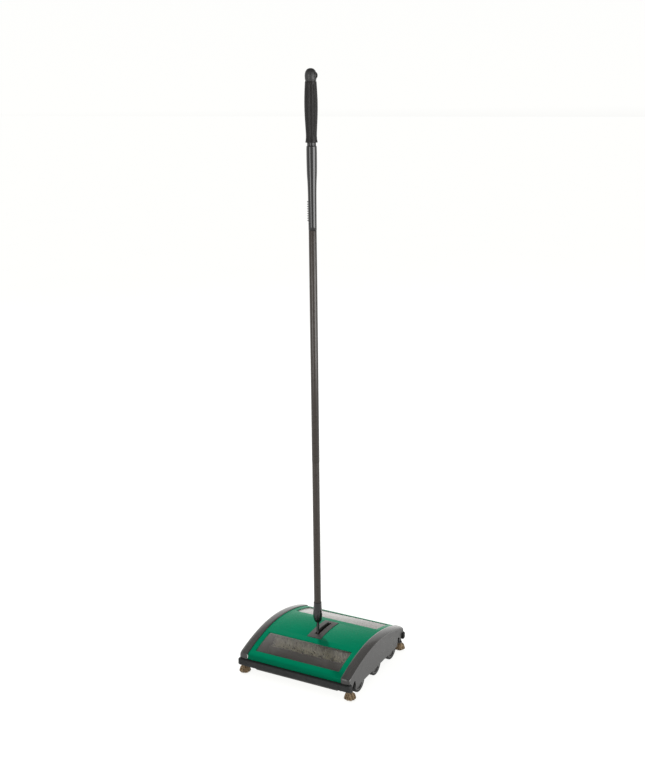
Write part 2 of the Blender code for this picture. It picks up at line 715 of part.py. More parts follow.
def make_spring(name, place, material):
    """Torsion spring wound around a pan's pin."""
    curve = bpy.data.curves.new(name, "CURVE")
    curve.dimensions = "3D"
    curve.bevel_depth = SPRING_WIRE
    curve.bevel_resolution = 0
    curve.use_fill_caps = True
    per_turn = 8
    count = SPRING_TURNS * per_turn + 1
    spline = curve.splines.new("POLY")
    spline.points.add(count - 1)
    for i in range(count):
        angle = math.tau * i / per_turn
        x = SPRING_SPAN[0] + (SPRING_SPAN[1] - SPRING_SPAN[0]) * i / (count - 1)
        spline.points[i].co = (x, SPRING_RADIUS * math.cos(angle), SPRING_RADIUS * math.sin(angle), 1.0)
    curve.materials.append(material)
    spring = bpy.data.objects.new(name, curve)
    spring.location = place
    bpy.data.collections[PARTS].objects.link(spring)


# ---------------------------------------------------------------- handle

def tube_profile(outer, bottom, top, spigot):
    """Thin tube; with a spigot, its upper end is reduced to enter the tube above it."""
    inner = outer - TUBE_WALL
    if not spigot:
        return [(outer, top), (outer, bottom), (inner, bottom), (inner, top)]
    neck = SPIGOT_RADIUS - TUBE_WALL
    return [(SPIGOT_RADIUS, top + SPIGOT_LENGTH), (SPIGOT_RADIUS, top), (outer, top), (outer, bottom),
            (inner, bottom), (inner, top - 0.0020), (neck, top - 0.0010), (neck, top + SPIGOT_LENGTH)]


def make_handle_tubes(materials):
    """Three steel tubes; the lower two have a reduced end that enters the tube above."""
    axis = (0, PIVOT_Y, 0)
    turned("lower_tube", tube_profile(LOWER_RADIUS, TUBE_BOTTOM, LOWER_TOP, True), materials["tube"],
           axis, closed=True)
    turned("middle_tube", tube_profile(MIDDLE_RADIUS, LOWER_TOP + GAP, MIDDLE_TOP, True),
           materials["tube"], axis, closed=True)
    turned("upper_tube", tube_profile(UPPER_RADIUS, MIDDLE_TOP + GAP, UPPER_TOP, False),
           materials["tube"], axis, closed=True)


def make_stalk(materials):
    """Steel rod with an eye that turns on the pivot pin."""
    bm = bmesh.new()
    add_cylinder(bm, "X", (PIVOT_Y, PIVOT_Z), KNUCKLE_RADIUS, (-KNUCKLE_HALF, KNUCKLE_HALF), 16)
    stalk = finish_mesh("handle_stalk", bm, materials["tube"])
    bm = bmesh.new()
    add_cylinder(bm, "Z", (0, PIVOT_Y), STALK_RADIUS, (PIVOT_Z + 0.0020, STALK_TOP))
    join(stalk, bm)
    bm = bmesh.new()
    add_cylinder(bm, "X", (PIVOT_Y, PIVOT_Z), PIVOT_PIN_RADIUS + GAP, (-0.0040, 0.0040))
    cut(stalk, bm)


def make_socket(materials):
    """Tapered plastic socket that joins the stalk to the lowest tube."""
    bore = LOWER_RADIUS + GAP
    hole = STALK_RADIUS + GAP
    shelf = TUBE_BOTTOM - GAP
    profile = [(bore + 0.0006, SOCKET_TOP), (0.0076, 0.1240), (0.0083, 0.1140), (0.0085, 0.1055),
               (0.0076, 0.0975), (0.0045, SOCKET_BOTTOM), (hole, SOCKET_BOTTOM), (hole, shelf), (bore, shelf),
               (bore, SOCKET_TOP)]
    turned("handle_socket", profile, materials["grip"], (0, PIVOT_Y, 0), closed=True)


def make_sleeve(materials):
    """Plastic sleeve over the upper tube, with a row of thumb ridges on its left side."""
    bore = UPPER_RADIUS + GAP
    bottom = MIDDLE_TOP + 0.0004
    profile = [(0.0068, SLEEVE_TOP), (0.0068, 0.9735), (0.0090, 0.9722), (0.0091, 0.9600), (0.0088, 0.9260),
               (0.0079, 0.9130), (0.0075, 0.8990), (0.0072, bottom), (bore, bottom), (bore, SLEEVE_TOP)]
    sleeve = turned("tube_sleeve", profile, materials["grip"], (0, PIVOT_Y, 0), closed=True)
    bm = bmesh.new()
    for ridge in range(RIDGE_COUNT):
        z = RIDGE_BOTTOM + ridge * RIDGE_PITCH
        add_box(bm, (-0.0083, PIVOT_Y - 0.0025, z), (-0.0066, PIVOT_Y + 0.0025, z + RIDGE_PITCH / 2))
    join(sleeve, bm)


def grip_radius(z):
    if z < GRIP_WAIST_Z:
        return GRIP_WAIST + 0.0013 * ((GRIP_WAIST_Z - z) / (GRIP_WAIST_Z - GRIP_BOTTOM)) ** 2
    t = (z - GRIP_WAIST_Z) / GRIP_SWELL_LENGTH
    return GRIP_WAIST + GRIP_SWELL * math.sin(math.pi * t) ** 1.3


def make_grip(materials):
    """Swelling grip on the end of the upper tube."""
    bore = UPPER_RADIUS + GAP
    top = CAP_BOTTOM - GAP
    heights = [top - (top - GRIP_WAIST_Z) * step / 8 for step in range(9)]
    heights += [0.9850, 0.9815, GRIP_BOTTOM]
    outer = [(grip_radius(z), z) for z in heights]
    profile = [(0, top)] + outer + [(bore, GRIP_BOTTOM), (bore, UPPER_TOP + GAP), (0, UPPER_TOP + GAP)]
    turned("grip", profile, materials["grip"], (0, PIVOT_Y, 0))


def make_grip_cap(materials):
    """Domed end cap with a small hanging eye on its right side."""
    profile = [(0, HEIGHT), (0.0035, HEIGHT - 0.0006), (0.0065, HEIGHT - 0.0024), (0.0087, HEIGHT - 0.0056),
               (0.0099, HEIGHT - 0.0105), (0.0097, 1.0845), (0.0092, CAP_BOTTOM), (0, CAP_BOTTOM)]
    cap = turned("grip_cap", profile, materials["grip"], (0, PIVOT_Y, 0))
    bm = bmesh.new()
    outline = [(0.0060, PIVOT_Y - 0.0025), (0.0120, PIVOT_Y - 0.0025), (0.0130, PIVOT_Y - 0.0015),
               (0.0130, PIVOT_Y + 0.0015), (0.0120, PIVOT_Y + 0.0025), (0.0060, PIVOT_Y + 0.0025)]
    add_prism(bm, outline, "Z", 1.0830, 1.0945)
    join(cap, bm)
    bm = bmesh.new()
    add_box(bm, (0.0094, PIVOT_Y - 0.0060, 1.0860), (0.0115, PIVOT_Y + 0.0060, 1.0920))
    cut(cap, bm)


def main():
    clear_scene()
    make_collection(PARTS)
    make_collection(CUTTERS)
    materials = make_materials()
    make_chassis(materials)
    make_cover(materials)
    make_windows(materials)
    make_end_caps(materials)
    make_bumpers(materials)
    make_pivot(materials)
    make_axles(materials)
    make_screws(materials)
    make_wheels(materials)
    make_brush_rolls(materials)
    make_corner_brushes(materials)
    make_dust_pans(materials)
    make_stalk(materials)
    make_socket(materials)
    make_handle_tubes(materials)
    make_sleeve(materials)
    make_grip(materials)
    make_grip_cap(materials)


main()
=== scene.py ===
"""Looks for the carpet sweeper: camera, light, materials and finely made pieces on the CAD's bodies.

Units are metres, in the CAD's frame: X is the width, +Y points to the rear and +Z is up.
"""

import math
import random

import bmesh
import bpy
from mathutils import Matrix, Vector


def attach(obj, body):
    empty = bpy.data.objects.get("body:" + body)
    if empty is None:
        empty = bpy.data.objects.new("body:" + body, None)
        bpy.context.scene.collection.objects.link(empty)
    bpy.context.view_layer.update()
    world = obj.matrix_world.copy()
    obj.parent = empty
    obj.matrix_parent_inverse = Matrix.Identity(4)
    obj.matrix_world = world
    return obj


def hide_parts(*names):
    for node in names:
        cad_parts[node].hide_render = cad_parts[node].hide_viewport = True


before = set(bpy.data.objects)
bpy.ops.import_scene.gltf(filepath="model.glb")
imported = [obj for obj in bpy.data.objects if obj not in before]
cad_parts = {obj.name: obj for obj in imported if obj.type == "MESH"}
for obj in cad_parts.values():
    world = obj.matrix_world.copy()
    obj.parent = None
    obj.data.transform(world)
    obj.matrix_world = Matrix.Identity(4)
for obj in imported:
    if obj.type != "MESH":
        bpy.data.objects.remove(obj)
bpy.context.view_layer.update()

SIDES = (("left", -1), ("right", 1))
ENDS = (("front", -1), ("rear", 1))

# Arched top of the base
ARCH_TOP = 0.0692
ARCH_DROP = 0.0229
ARCH_HALF = 0.1150
ARCH_POWER = 1.95
FASCIA_HALF = 0.1165
FASCIA_BOTTOM = 0.0360
FASCIA_ROUND = 0.0045
COVER_HALF = 0.0983
COVER_WALL = 0.0025
WINDOW_HALF = 0.0877
WINDOW_NEAR = 0.0515
WINDOW_FAR = 0.1043
WINDOW_RECESS = 0.0010
WINDOW_THICK = 0.0022
WINDOW_CORNER = 0.0018
WINDOW_CUT = (0.0300, 0.0800)
PLATE_HALF = 0.0145
PLATE_FRONT = -0.0375
PLATE_REAR = 0.0360
PLATE_PROUD = 0.0009
PLATE_CORNER = 0.0008
PLATE_DEPTH = 0.0050
PLATE_CUT = (0.0580, 0.0750)
SLOT_HALF = 0.0042
SLOT_FRONT = -0.0255
SLOT_REAR = 0.0275
SLOT_CORNER = 0.0012
SLOT_CUT = (0.0600, 0.0750)
LIP_INNER = 0.0004
LIP_OUTER = 0.0018
LIP_PROUD = 0.0003
LIP_SUNK = 0.0004
PIN_GROOVE_HALF = 0.0016
PIN_GROOVE_REACH = 0.0118
# Near-black trough under the pivot plate's slot: painted shade for the slot's shadowed inside
SHADE_TROUGH_HALF = 0.0086
SHADE_TROUGH_REACH = 0.0050
SHADE_TROUGH_FLOOR = 0.0556
SHADE_TROUGH_TOP = 0.0612
SHADE_TROUGH_WALL = 0.0010
SHADE_TROUGH_BASE = 0.0006
PIECE_GAP = 0.0002

# End caps: (x, inset) pairs from the cover's edge over the band and its rim to the side panel
CAP_PROUD = 0.0015
CAP_WALL = 0.0013
CAP_SECTION = ((0.0984, 0.0010), (0.0986, 0.0004), (0.0990, 0.0001), (0.1015, 0.0), (0.1060, 0.0002),
               (0.1100, 0.0006), (0.1130, 0.0014), (0.1146, 0.0021), (0.1153, 0.0026), (0.1155, 0.0032),
               (0.1154, 0.0038), (0.1149, 0.0041), (0.1147, 0.0047))
CAP_PANEL = 0.1147
CAP_FOOT = 0.0175
BOSS_FACE = 0.1124
AXLE_BOSS = (0.0024, 0.0040)
ROLL_BOSS = (0.0028, 0.0050)
PANEL_FACING = 0.97
FRONT_FACING = 0.80

# Wheels and brushes
WHEEL_RADIUS = 0.0220
WHEEL_ROWS = (("front", -0.0690), ("middle", 0.0), ("rear", 0.0690))
WHEEL_IN = 0.1020
WHEEL_OUT = 0.1120
AXLE_TIP = 0.1134
TREAD_INNER = 0.0182
BRUSH_Y = 0.0345
BRUSH_Z = 0.0259
BRISTLE_RADIUS = 0.0255
CORE_RADIUS = 0.0098
BRISTLE_HALF = 0.0840
BRISTLE_BLOCKS = 8
BLOCK_BRISTLES = 760
ROLL_STRAND = (0.00045, 0.00028)
TUFT_STRAND = (0.00042, 0.00026)
CORNER_X = 0.1110
CORNER_Y = 0.1065
CORNER_TOP = 0.0170
CORNER_FOOT = 0.0045
CORNER_SPREAD = 0.0118
CORNER_ROOTS = (0.0024, 0.0046)
CORNER_CLUMPS = 22
CORNER_BRISTLES = 1150
SPRING_LOW = 0.0340
SPRING_HIGH = 0.0480
SPRING_RADIUS = 0.0022
SPRING_WIRE = 0.0004
SPRING_TURNS = 6
SPRING_STEPS = 20
PAN_PIN_Y = 0.0655
PAN_PIN_Z = 0.0142

# Bumpers
BUMPER_HALF = 0.1180
BUMPER_NEAR = 0.1118
BUMPER_FAR = 0.1220
BUMPER_BOTTOM = 0.0225
BUMPER_TOP = 0.0355

# Handle
HANDLE_Y = -0.0210
PIVOT_Z = 0.0635
COLLAR_RIBS = (0.0965, 0.1165)
GRIP_GROOVES = 10
GRIP_TOP = 1.0787
GRIP_FOOT = 0.9789
SLEEVE_RIDGES = 9
SLEEVE_TABS = 8
CAP_EYE_Z = 1.0882


# ---------------------------------------------------------------- materials

def new_material(name):
    material = bpy.data.materials.new(name)
    material.use_nodes = True
    tree = material.node_tree
    return material, tree, tree.nodes["Principled BSDF"]


def noise(tree, scale, detail=3.0, stretch=None):
    """A noise texture in object space; stretch scales each axis."""
    coords = tree.nodes.new("ShaderNodeTexCoord")
    source = coords.outputs["Object"]
    if stretch:
        mapping = tree.nodes.new("ShaderNodeMapping")
        mapping.inputs["Scale"].default_value = stretch
        tree.links.new(source, mapping.inputs["Vector"])
        source = mapping.outputs["Vector"]
    texture = tree.nodes.new("ShaderNodeTexNoise")
    texture.inputs["Scale"].default_value = scale
    texture.inputs["Detail"].default_value = detail
    tree.links.new(source, texture.inputs["Vector"])
    return texture.outputs["Fac"]


def ramp(tree, factor, stops):
    """A colour ramp over (position, colour) stops."""
    node = tree.nodes.new("ShaderNodeValToRGB")
    elements = node.color_ramp.elements
    while len(elements) < len(stops):
        elements.new(0.5)
    for element, (position, color) in zip(elements, stops):
        element.position = position
        element.color = (*color, 1.0)
    tree.links.new(factor, node.inputs["Fac"])
    return node.outputs["Color"]


def map_range(tree, factor, low, high, start=0.3, stop=0.7):
    node = tree.nodes.new("ShaderNodeMapRange")
    node.inputs["From Min"].default_value = start
    node.inputs["From Max"].default_value = stop
    node.inputs["To Min"].default_value = low
    node.inputs["To Max"].default_value = high
    tree.links.new(factor, node.inputs["Value"])
    return node.outputs["Result"]


def bump(tree, shader, height, strength, distance):
    node = tree.nodes.new("ShaderNodeBump")
    node.inputs["Strength"].default_value = strength
    node.inputs["Distance"].default_value = distance
    tree.links.new(height, node.inputs["Height"])
    tree.links.new(node.outputs["Normal"], shader.inputs["Normal"])


def shade(color, factor):
    return tuple(min(1.0, channel * factor) for channel in color)


def plastic(name, color, roughness, grain=900.0, depth=0.00006, mottle=0.08, specular=0.5, tint=None,
            coat=0.0):
    """Moulded plastic: slightly uneven colour and gloss over a fine moulded grain."""
    material, tree, shader = new_material(name)
    stops = [(0.30, shade(color, 1 - mottle)), (0.55, color), (0.75, shade(color, 1 + mottle))]
    tree.links.new(ramp(tree, noise(tree, 38.0, 5.0), stops), shader.inputs["Base Color"])
    gloss = map_range(tree, noise(tree, 120.0, 4.0), roughness * 0.88, roughness * 1.14)
    tree.links.new(gloss, shader.inputs["Roughness"])
    shader.inputs["Specular IOR Level"].default_value = specular
    if tint:
        shader.inputs["Specular Tint"].default_value = (*tint, 1.0)
    shader.inputs["Coat Weight"].default_value = coat
    shader.inputs["Coat Roughness"].default_value = 0.08
    bump(tree, shader, noise(tree, grain, 2.0), 0.5, depth)
    return material


def rubber(name, color):
    """Dull rubber with a dusty surface and a coarse grain."""
    material, tree, shader = new_material(name)
    stops = [(0.30, shade(color, 0.8)), (0.60, color), (0.80, shade(color, 1.7))]
    tree.links.new(ramp(tree, noise(tree, 210.0, 6.0), stops), shader.inputs["Base Color"])
    tree.links.new(map_range(tree, noise(tree, 90.0), 0.55, 0.75), shader.inputs["Roughness"])
    shader.inputs["Specular IOR Level"].default_value = 0.28
    bump(tree, shader, noise(tree, 1400.0, 3.0), 0.6, 0.00008)
    return material


def steel(name):
    """Turned steel with fine machining lines."""
    material, tree, shader = new_material(name)
    color = (0.50, 0.50, 0.49)
    stops = [(0.30, shade(color, 0.8)), (0.70, shade(color, 1.1))]
    tree.links.new(ramp(tree, noise(tree, 300.0, 4.0), stops), shader.inputs["Base Color"])
    tree.links.new(map_range(tree, noise(tree, 500.0), 0.22, 0.38), shader.inputs["Roughness"])
    shader.inputs["Metallic"].default_value = 1.0
    bump(tree, shader, noise(tree, 60.0, 2.0, (80.0, 1.0, 1.0)), 0.3, 0.00003)
    return material


def clear_pane(name):
    """Thin smoked plastic: clear when looked into, and pale when looked along, from its gloss and from a
    pale base colour that is partly a dust film and partly a painted reflection.
    """
    material, tree, shader = new_material(name)
    # Pale base colour: partly a dust film, partly a painted reflection, brought out by the alpha as the pane
    # is seen more edge on
    color = (0.34, 0.325, 0.305)
    stops = [(0.30, shade(color, 0.94)), (0.70, shade(color, 1.05))]
    tree.links.new(ramp(tree, noise(tree, 25.0, 4.0), stops), shader.inputs["Base Color"])
    tree.links.new(map_range(tree, noise(tree, 70.0, 4.0), 0.10, 0.16), shader.inputs["Roughness"])
    shader.inputs["Specular IOR Level"].default_value = 0.5
    facing = tree.nodes.new("ShaderNodeLayerWeight")
    facing.inputs["Blend"].default_value = 0.5
    alpha = map_range(tree, facing.outputs["Facing"], 0.05, 0.85, 0.35, 0.80)
    tree.links.new(alpha, shader.inputs["Alpha"])
    bump(tree, shader, noise(tree, 45.0, 2.0), 0.2, 0.0001)
    return material


def bristle(name, dark, middle, pale):
    """Bristle whose strands differ in colour."""
    material, tree, shader = new_material(name)
    strands = tree.nodes.new("ShaderNodeNewGeometry")
    mixed = tree.nodes.new("ShaderNodeMath")
    mixed.operation = "MULTIPLY_ADD"
    mixed.inputs[1].default_value = 0.55
    tree.links.new(strands.outputs["Random Per Island"], mixed.inputs[0])
    blotches = map_range(tree, noise(tree, 160.0, 3.0), 0.0, 0.45)
    tree.links.new(blotches, mixed.inputs[2])
    stops = [(0.08, dark), (0.45, middle), (0.90, pale)]
    tree.links.new(ramp(tree, mixed.outputs[0], stops), shader.inputs["Base Color"])
    tree.links.new(map_range(tree, noise(tree, 400.0), 0.55, 0.85), shader.inputs["Roughness"])
    shader.inputs["Specular IOR Level"].default_value = 0.3
    return material


def make_materials():
    return {
        "green": plastic("green_plastic", (0.0002, 0.1650, 0.0800), 0.26, grain=700.0, depth=0.00002,
                         mottle=0.04, specular=0.05, tint=(0.05, 0.9, 0.6)),
        "trim": plastic("trim_plastic", (0.042, 0.040, 0.037), 0.22, grain=1100.0, depth=0.000012,
                        specular=1.0, coat=0.35),
        "panel": plastic("side_plastic", (0.040, 0.038, 0.036), 0.30, grain=1100.0, depth=0.00003),
        "chassis": plastic("chassis_plastic", (0.014, 0.014, 0.013), 0.50, grain=800.0, depth=0.0001),
        "bumper": rubber("bumper_rubber", (0.016, 0.017, 0.017)),
        "smoked": clear_pane("smoked_pane"),
        "plate": plastic("plate_plastic", (0.058, 0.055, 0.051), 0.42, grain=900.0, depth=0.00006),
        # Near-black plastic: the studs' own colour, and painted shade in the slot trough and in the cap
        # eye's plug
        "slot": plastic("black_and_painted_shade", (0.006, 0.006, 0.006), 0.60, grain=900.0),
        "steel": steel("turned_steel"),
        "tube": plastic("tube_enamel", (0.034, 0.024, 0.017), 0.30, grain=500.0, depth=0.00003,
                        specular=0.45),
        "gloss": plastic("gloss_black", (0.0045, 0.0042, 0.0038), 0.13, grain=400.0, depth=0.00001,
                         specular=0.42, coat=0.3),
        "grip": plastic("grip_plastic", (0.012, 0.0105, 0.0100), 0.42, grain=1600.0, depth=0.00008,
                        specular=0.20),
        "cap": plastic("cap_plastic", (0.024, 0.0235, 0.023), 0.40, grain=1400.0, depth=0.00006,
                       specular=0.4),
        "tyre": rubber("tyre_rubber", (0.006, 0.006, 0.006)),
        "hub": plastic("hub_plastic", (0.060, 0.058, 0.055), 0.38, grain=900.0, depth=0.00006),
        "pan": plastic("pan_plastic", (0.040, 0.033, 0.026), 0.50, grain=600.0, depth=0.0001, mottle=0.14),
        "bristle": bristle("brush_bristle", (0.24, 0.21, 0.15), (0.86, 0.82, 0.66), (1.0, 0.96, 0.82)),
        "tuft": bristle("corner_bristle", (0.060, 0.037, 0.017), (0.290, 0.195, 0.105),
                        (0.56, 0.43, 0.27)),
    }


# ---------------------------------------------------------------- mesh helpers

def add_object(name, mesh, material):
    mesh.materials.append(material)
    piece = bpy.data.objects.new(name, mesh)
    bpy.context.scene.collection.objects.link(piece)
    return piece


def from_bmesh(name, bm, material, angle=35.0):
    mesh = bpy.data.meshes.new(name)
    bmesh.ops.recalc_face_normals(bm, faces=bm.faces)
    bm.to_mesh(mesh)
    bm.free()
    mesh.shade_smooth()
    mesh.set_sharp_from_angle(angle=math.radians(angle))
    return add_object(name, mesh, material)


def settle(piece, angle=35.0):
    """Applies a piece's modifiers and shades it smooth between its real edges."""
    graph = bpy.context.evaluated_depsgraph_get()
    mesh = bpy.data.meshes.new_from_object(piece.evaluated_get(graph))
    old = piece.data
    piece.modifiers.clear()
    piece.data = mesh
    bpy.data.meshes.remove(old)
    mesh.name = piece.name
    mesh.shade_smooth()
    mesh.set_sharp_from_angle(angle=math.radians(angle))


def bevel(piece, width, segments=3, angle=40.0):
    modifier = piece.modifiers.new("edges", "BEVEL")
    modifier.width = width
    modifier.segments = segments
    modifier.limit_method = "ANGLE"
    modifier.angle_limit = math.radians(angle)
    modifier.harden_normals = False


def weight_normals(piece):
    modifier = piece.modifiers.new("normals", "WEIGHTED_NORMAL")
    modifier.keep_sharp = True


def boolean(piece, tool, operation):
    modifier = piece.modifiers.new("boolean", "BOOLEAN")
    modifier.operation = operation
    modifier.object = tool
    modifier.solver = "EXACT"


def cut(piece, bm, operation="DIFFERENCE"):
    """Cuts a bmesh out of a piece at once, and drops the tool."""
    tool = from_bmesh("tool", bm, piece.data.materials[0])
    boolean(piece, tool, operation)
    settle(piece)
    bpy.data.objects.remove(tool)


def extrude(bm, outline, axis, low, high):
    """Adds a flat outline extruded along X, where it holds (y, z), or along Z, where it holds (x, y)."""
    if axis == "X":
        ends = [[(x, a, b) for a, b in outline] for x in (low, high)]
    else:
        ends = [[(a, b, z) for a, b in outline] for z in (low, high)]
    loops = [[bm.verts.new(point) for point in end] for end in ends]
    count = len(outline)
    for i in range(count):
        j = (i + 1) % count
        bm.faces.new((loops[0][i], loops[0][j], loops[1][j], loops[1][i]))
    bm.faces.new(loops[0])
    bm.faces.new(loops[1])


def rounded_rectangle(low, high, radius, segments=5):
    """Plan outline of a rectangle from corner low to corner high with rounded corners."""
    outline = []
    centres = ((high[0] - radius, high[1] - radius), (low[0] + radius, high[1] - radius),
               (low[0] + radius, low[1] + radius), (high[0] - radius, low[1] + radius))
    for quarter, (x, y) in enumerate(centres):
        for step in range(segments + 1):
            angle = (quarter + step / segments) * math.pi / 2
            outline.append((x + radius * math.cos(angle), y + radius * math.sin(angle)))
    return outline


def lathe(bm, profile, centre, axis="Z", segments=64, closed=False, shape=None):
    """Turns (radius, height) points about an axis through centre; shape(radius, height, angle) varies it."""
    rings = []
    for radius, height in profile:
        ring = []
        if radius <= 0:
            ring.append(turned_vertex(bm, 0.0, height, 0.0, centre, axis))
        else:
            for i in range(segments):
                angle = math.tau * i / segments
                r = shape(radius, height, angle) if shape else radius
                ring.append(turned_vertex(bm, r, height, angle, centre, axis))
        rings.append(ring)
    pairs = list(zip(rings, rings[1:]))
    if closed:
        pairs.append((rings[-1], rings[0]))
    for upper, lower in pairs:
        for i in range(segments):
            j = (i + 1) % segments
            if len(upper) == 1 and len(lower) == 1:
                continue
            if len(upper) == 1:
                bm.faces.new((upper[0], lower[j], lower[i]))
            elif len(lower) == 1:
                bm.faces.new((upper[i], upper[j], lower[0]))
            else:
                bm.faces.new((upper[i], upper[j], lower[j], lower[i]))


def turned_vertex(bm, radius, height, angle, centre, axis):
    a = radius * math.cos(angle)
    b = radius * math.sin(angle)
    offset = (a, b, height) if axis == "Z" else (height, a, b)
    return bm.verts.new(Vector(centre) + Vector(offset))


def smooth_profile(points, steps=6):
    """Catmull-Rom curve through (radius, height) points."""
    out = []
    for i in range(len(points) - 1):
        p0 = points[max(i - 1, 0)]
        p1, p2 = points[i], points[i + 1]
        p3 = points[min(i + 2, len(points) - 1)]
        for step in range(steps):
            t = step / steps
            out.append(tuple(
                0.5 * (2 * b + (c - a) * t + (2 * a - 5 * b + 4 * c - d) * t * t
                       + (3 * b - a - 3 * c + d) * t * t * t)
                for a, b, c, d in zip(p0, p1, p2, p3)))
    out.append(points[-1])
    return out


def strand(bm, root, tip, width, tip_width, turn):
    """Adds one bristle: a thin three-sided spike from root to tip."""
    along = (tip - root).normalized()
    side = along.orthogonal().normalized()
    rings = []
    for point, size in ((root, width), (tip, tip_width)):
        ring = []
        for i in range(3):
            spin = Matrix.Rotation(turn + math.tau * i / 3, 3, along)
            ring.append(bm.verts.new(point + (spin @ side) * size))
        rings.append(ring)
    for i in range(3):
        j = (i + 1) % 3
        bm.faces.new((rings[0][i], rings[0][j], rings[1][j], rings[1][i]))
    bm.faces.new(rings[1])
    bm.faces.new(rings[0][::-1])


def place(piece, body, slot, *nodes):
    """Hangs a piece on a CAD body and hides the CAD nodes that it stands for; the slot argument is not used.
    """
    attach(piece, body)
    if nodes:
        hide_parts(*nodes)


# ---------------------------------------------------------------- outlines

def arch(y):
    """Height of the cover's top surface at a distance y from the middle."""
    return ARCH_TOP - ARCH_DROP * (abs(y) / ARCH_HALF) ** ARCH_POWER


def shell_outline(inset, bottom, steps=64, fillet=8):
    """Outline in Y and Z from the front fascia over the arch to the rear fascia, moved inwards."""
    half = FASCIA_HALF - inset
    shoulder = half - FASCIA_ROUND
    corner = arch(half) - inset
    drop = corner - FASCIA_ROUND
    side = [(half, bottom)]
    for step in range(fillet + 1):
        t = step / fillet
        y = (1 - t) ** 2 * half + 2 * t * (1 - t) * half + t ** 2 * shoulder
        z = (1 - t) ** 2 * drop + 2 * t * (1 - t) * corner + t ** 2 * (arch(shoulder) - inset)
        side.append((y, z))
    front = [(-y, z) for y, z in side]
    middle = []
    for step in range(1, steps):
        y = shoulder * (2 * step / steps - 1)
        middle.append((y, arch(y) - inset))
    return front + middle + side[::-1]


def cap_foot_outline():
    """Lower edge of an end cap's side face, from the rear to the front."""
    half = [(0.1105, FASCIA_BOTTOM), (0.1100, 0.0300), (0.1082, 0.0262), (0.1060, 0.0255), (0.1038, 0.0258),
            (0.1000, 0.0292), (0.0972, 0.0324), (0.0955, 0.0335), (0.0925, 0.0335), (0.0912, 0.0322),
            (0.0897, 0.0230), (0.0885, CAP_FOOT)]
    return half + [(-y, z) for y, z in reversed(half)]


# ---------------------------------------------------------------- base

def make_cover(materials):
    """Green shell with two window openings and an opening for the pivot plate."""
    outer = shell_outline(0.0, FASCIA_BOTTOM)
    inner = shell_outline(COVER_WALL, FASCIA_BOTTOM)
    bm = bmesh.new()
    extrude(bm, outer + inner[::-1], "X", -COVER_HALF, COVER_HALF)
    cover = from_bmesh("cover_shell", bm, materials["green"])
    bm = bmesh.new()
    for _, end in ENDS:
        low, high = sorted((end * WINDOW_NEAR, end * WINDOW_FAR))
        outline = rounded_rectangle((-WINDOW_HALF, low), (WINDOW_HALF, high), WINDOW_CORNER)
        extrude(bm, outline, "Z", *WINDOW_CUT)
    outline = rounded_rectangle((-PLATE_HALF, PLATE_FRONT), (PLATE_HALF, PLATE_REAR), PLATE_CORNER)
    extrude(bm, outline, "Z", *PLATE_CUT)
    cut(cover, bm)
    bevel(cover, 0.0004)
    weight_normals(cover)
    settle(cover)
    place(cover, "base", "green", "top_cover")


def arched_slab(bm, half_width, near, far, top, bottom, steps=24):
    """Adds a slab that follows the arch between two depths below it."""
    ys = [near + (far - near) * step / steps for step in range(steps + 1)]
    upper = [(y, arch(y) - top) for y in ys]
    lower = [(y, arch(y) - bottom) for y in reversed(ys)]
    extrude(bm, upper + lower, "X", -half_width, half_width)


def make_windows(materials):
    """Clear panes, set a little below the cover's surface."""
    for label, end in ENDS:
        bm = bmesh.new()
        arched_slab(bm, WINDOW_HALF - PIECE_GAP, end * (WINDOW_NEAR + PIECE_GAP),
                    end * (WINDOW_FAR - PIECE_GAP), WINDOW_RECESS, WINDOW_RECESS + WINDOW_THICK)
        pane = from_bmesh(f"window_pane_{label}", bm, materials["smoked"])
        bevel(pane, 0.0003, 2)
        weight_normals(pane)
        settle(pane)
        place(pane, "base", "smoked", f"window_{label}")


def make_end_caps(materials):
    """Side shells: a glossy band over the arch, a rounded rim and a duller side panel with bosses."""
    loops = [(x, shell_outline(inset - CAP_PROUD, FASCIA_BOTTOM)) for x, inset in CAP_SECTION]
    foot = cap_foot_outline()
    for label, side in SIDES:
        bm = bmesh.new()
        rows = [[bm.verts.new((side * x, y, z)) for y, z in outline] for x, outline in loops]
        faces = []
        for inner, outer in zip(rows, rows[1:]):
            for i in range(len(inner) - 1):
                faces.append(bm.faces.new((inner[i], outer[i], outer[i + 1], inner[i + 1])))
        faces.append(bm.faces.new(rows[-1] + [bm.verts.new((side * CAP_PANEL, y, z)) for y, z in foot]))
        faces[-1].normal_flip()
        if side < 0:
            bmesh.ops.reverse_faces(bm, faces=faces)
        mesh = bpy.data.meshes.new(f"end_cap_shell_{label}")
        bm.to_mesh(mesh)
        bm.free()
        cap = add_object(f"end_cap_shell_{label}", mesh, materials["trim"])
        solid = cap.modifiers.new("wall", "SOLIDIFY")
        solid.thickness = CAP_WALL
        solid.offset = -1.0
        settle(cap)
        bm = bmesh.new()
        bm.from_mesh(cap.data)
        for _, y in WHEEL_ROWS:
            add_boss(bm, AXLE_BOSS, side, y, WHEEL_RADIUS)
        for _, end in ENDS:
            add_boss(bm, ROLL_BOSS, side, end * BRUSH_Y, BRUSH_Z)
        bm.to_mesh(cap.data)
        bm.free()
        cap.data.shade_smooth()
        cap.data.set_sharp_from_angle(angle=math.radians(30))
        weight_normals(cap)
        settle(cap, 30)
        cap.data.materials.append(materials["panel"])
        for face in cap.data.polygons:
            if abs(face.normal.x) > PANEL_FACING or abs(face.normal.y) > FRONT_FACING:
                face.material_index = 1
        place(cap, "base", "trim", f"end_cap_{label}")


def add_boss(bm, radii, side, y, z):
    """Adds a round bearing boss on the inside of a side panel."""
    bore, rim = radii
    root = CAP_PANEL - CAP_WALL + PIECE_GAP
    boss = [(bore, BOSS_FACE), (rim, BOSS_FACE), (rim, root), (bore, root)]
    lathe(bm, sided(boss, side), (0, y, z), "X", 24, True)


def sided(profile, side):
    """Mirrors (radius, x) points for the left side."""
    return [(radius, side * x) for radius, x in profile]


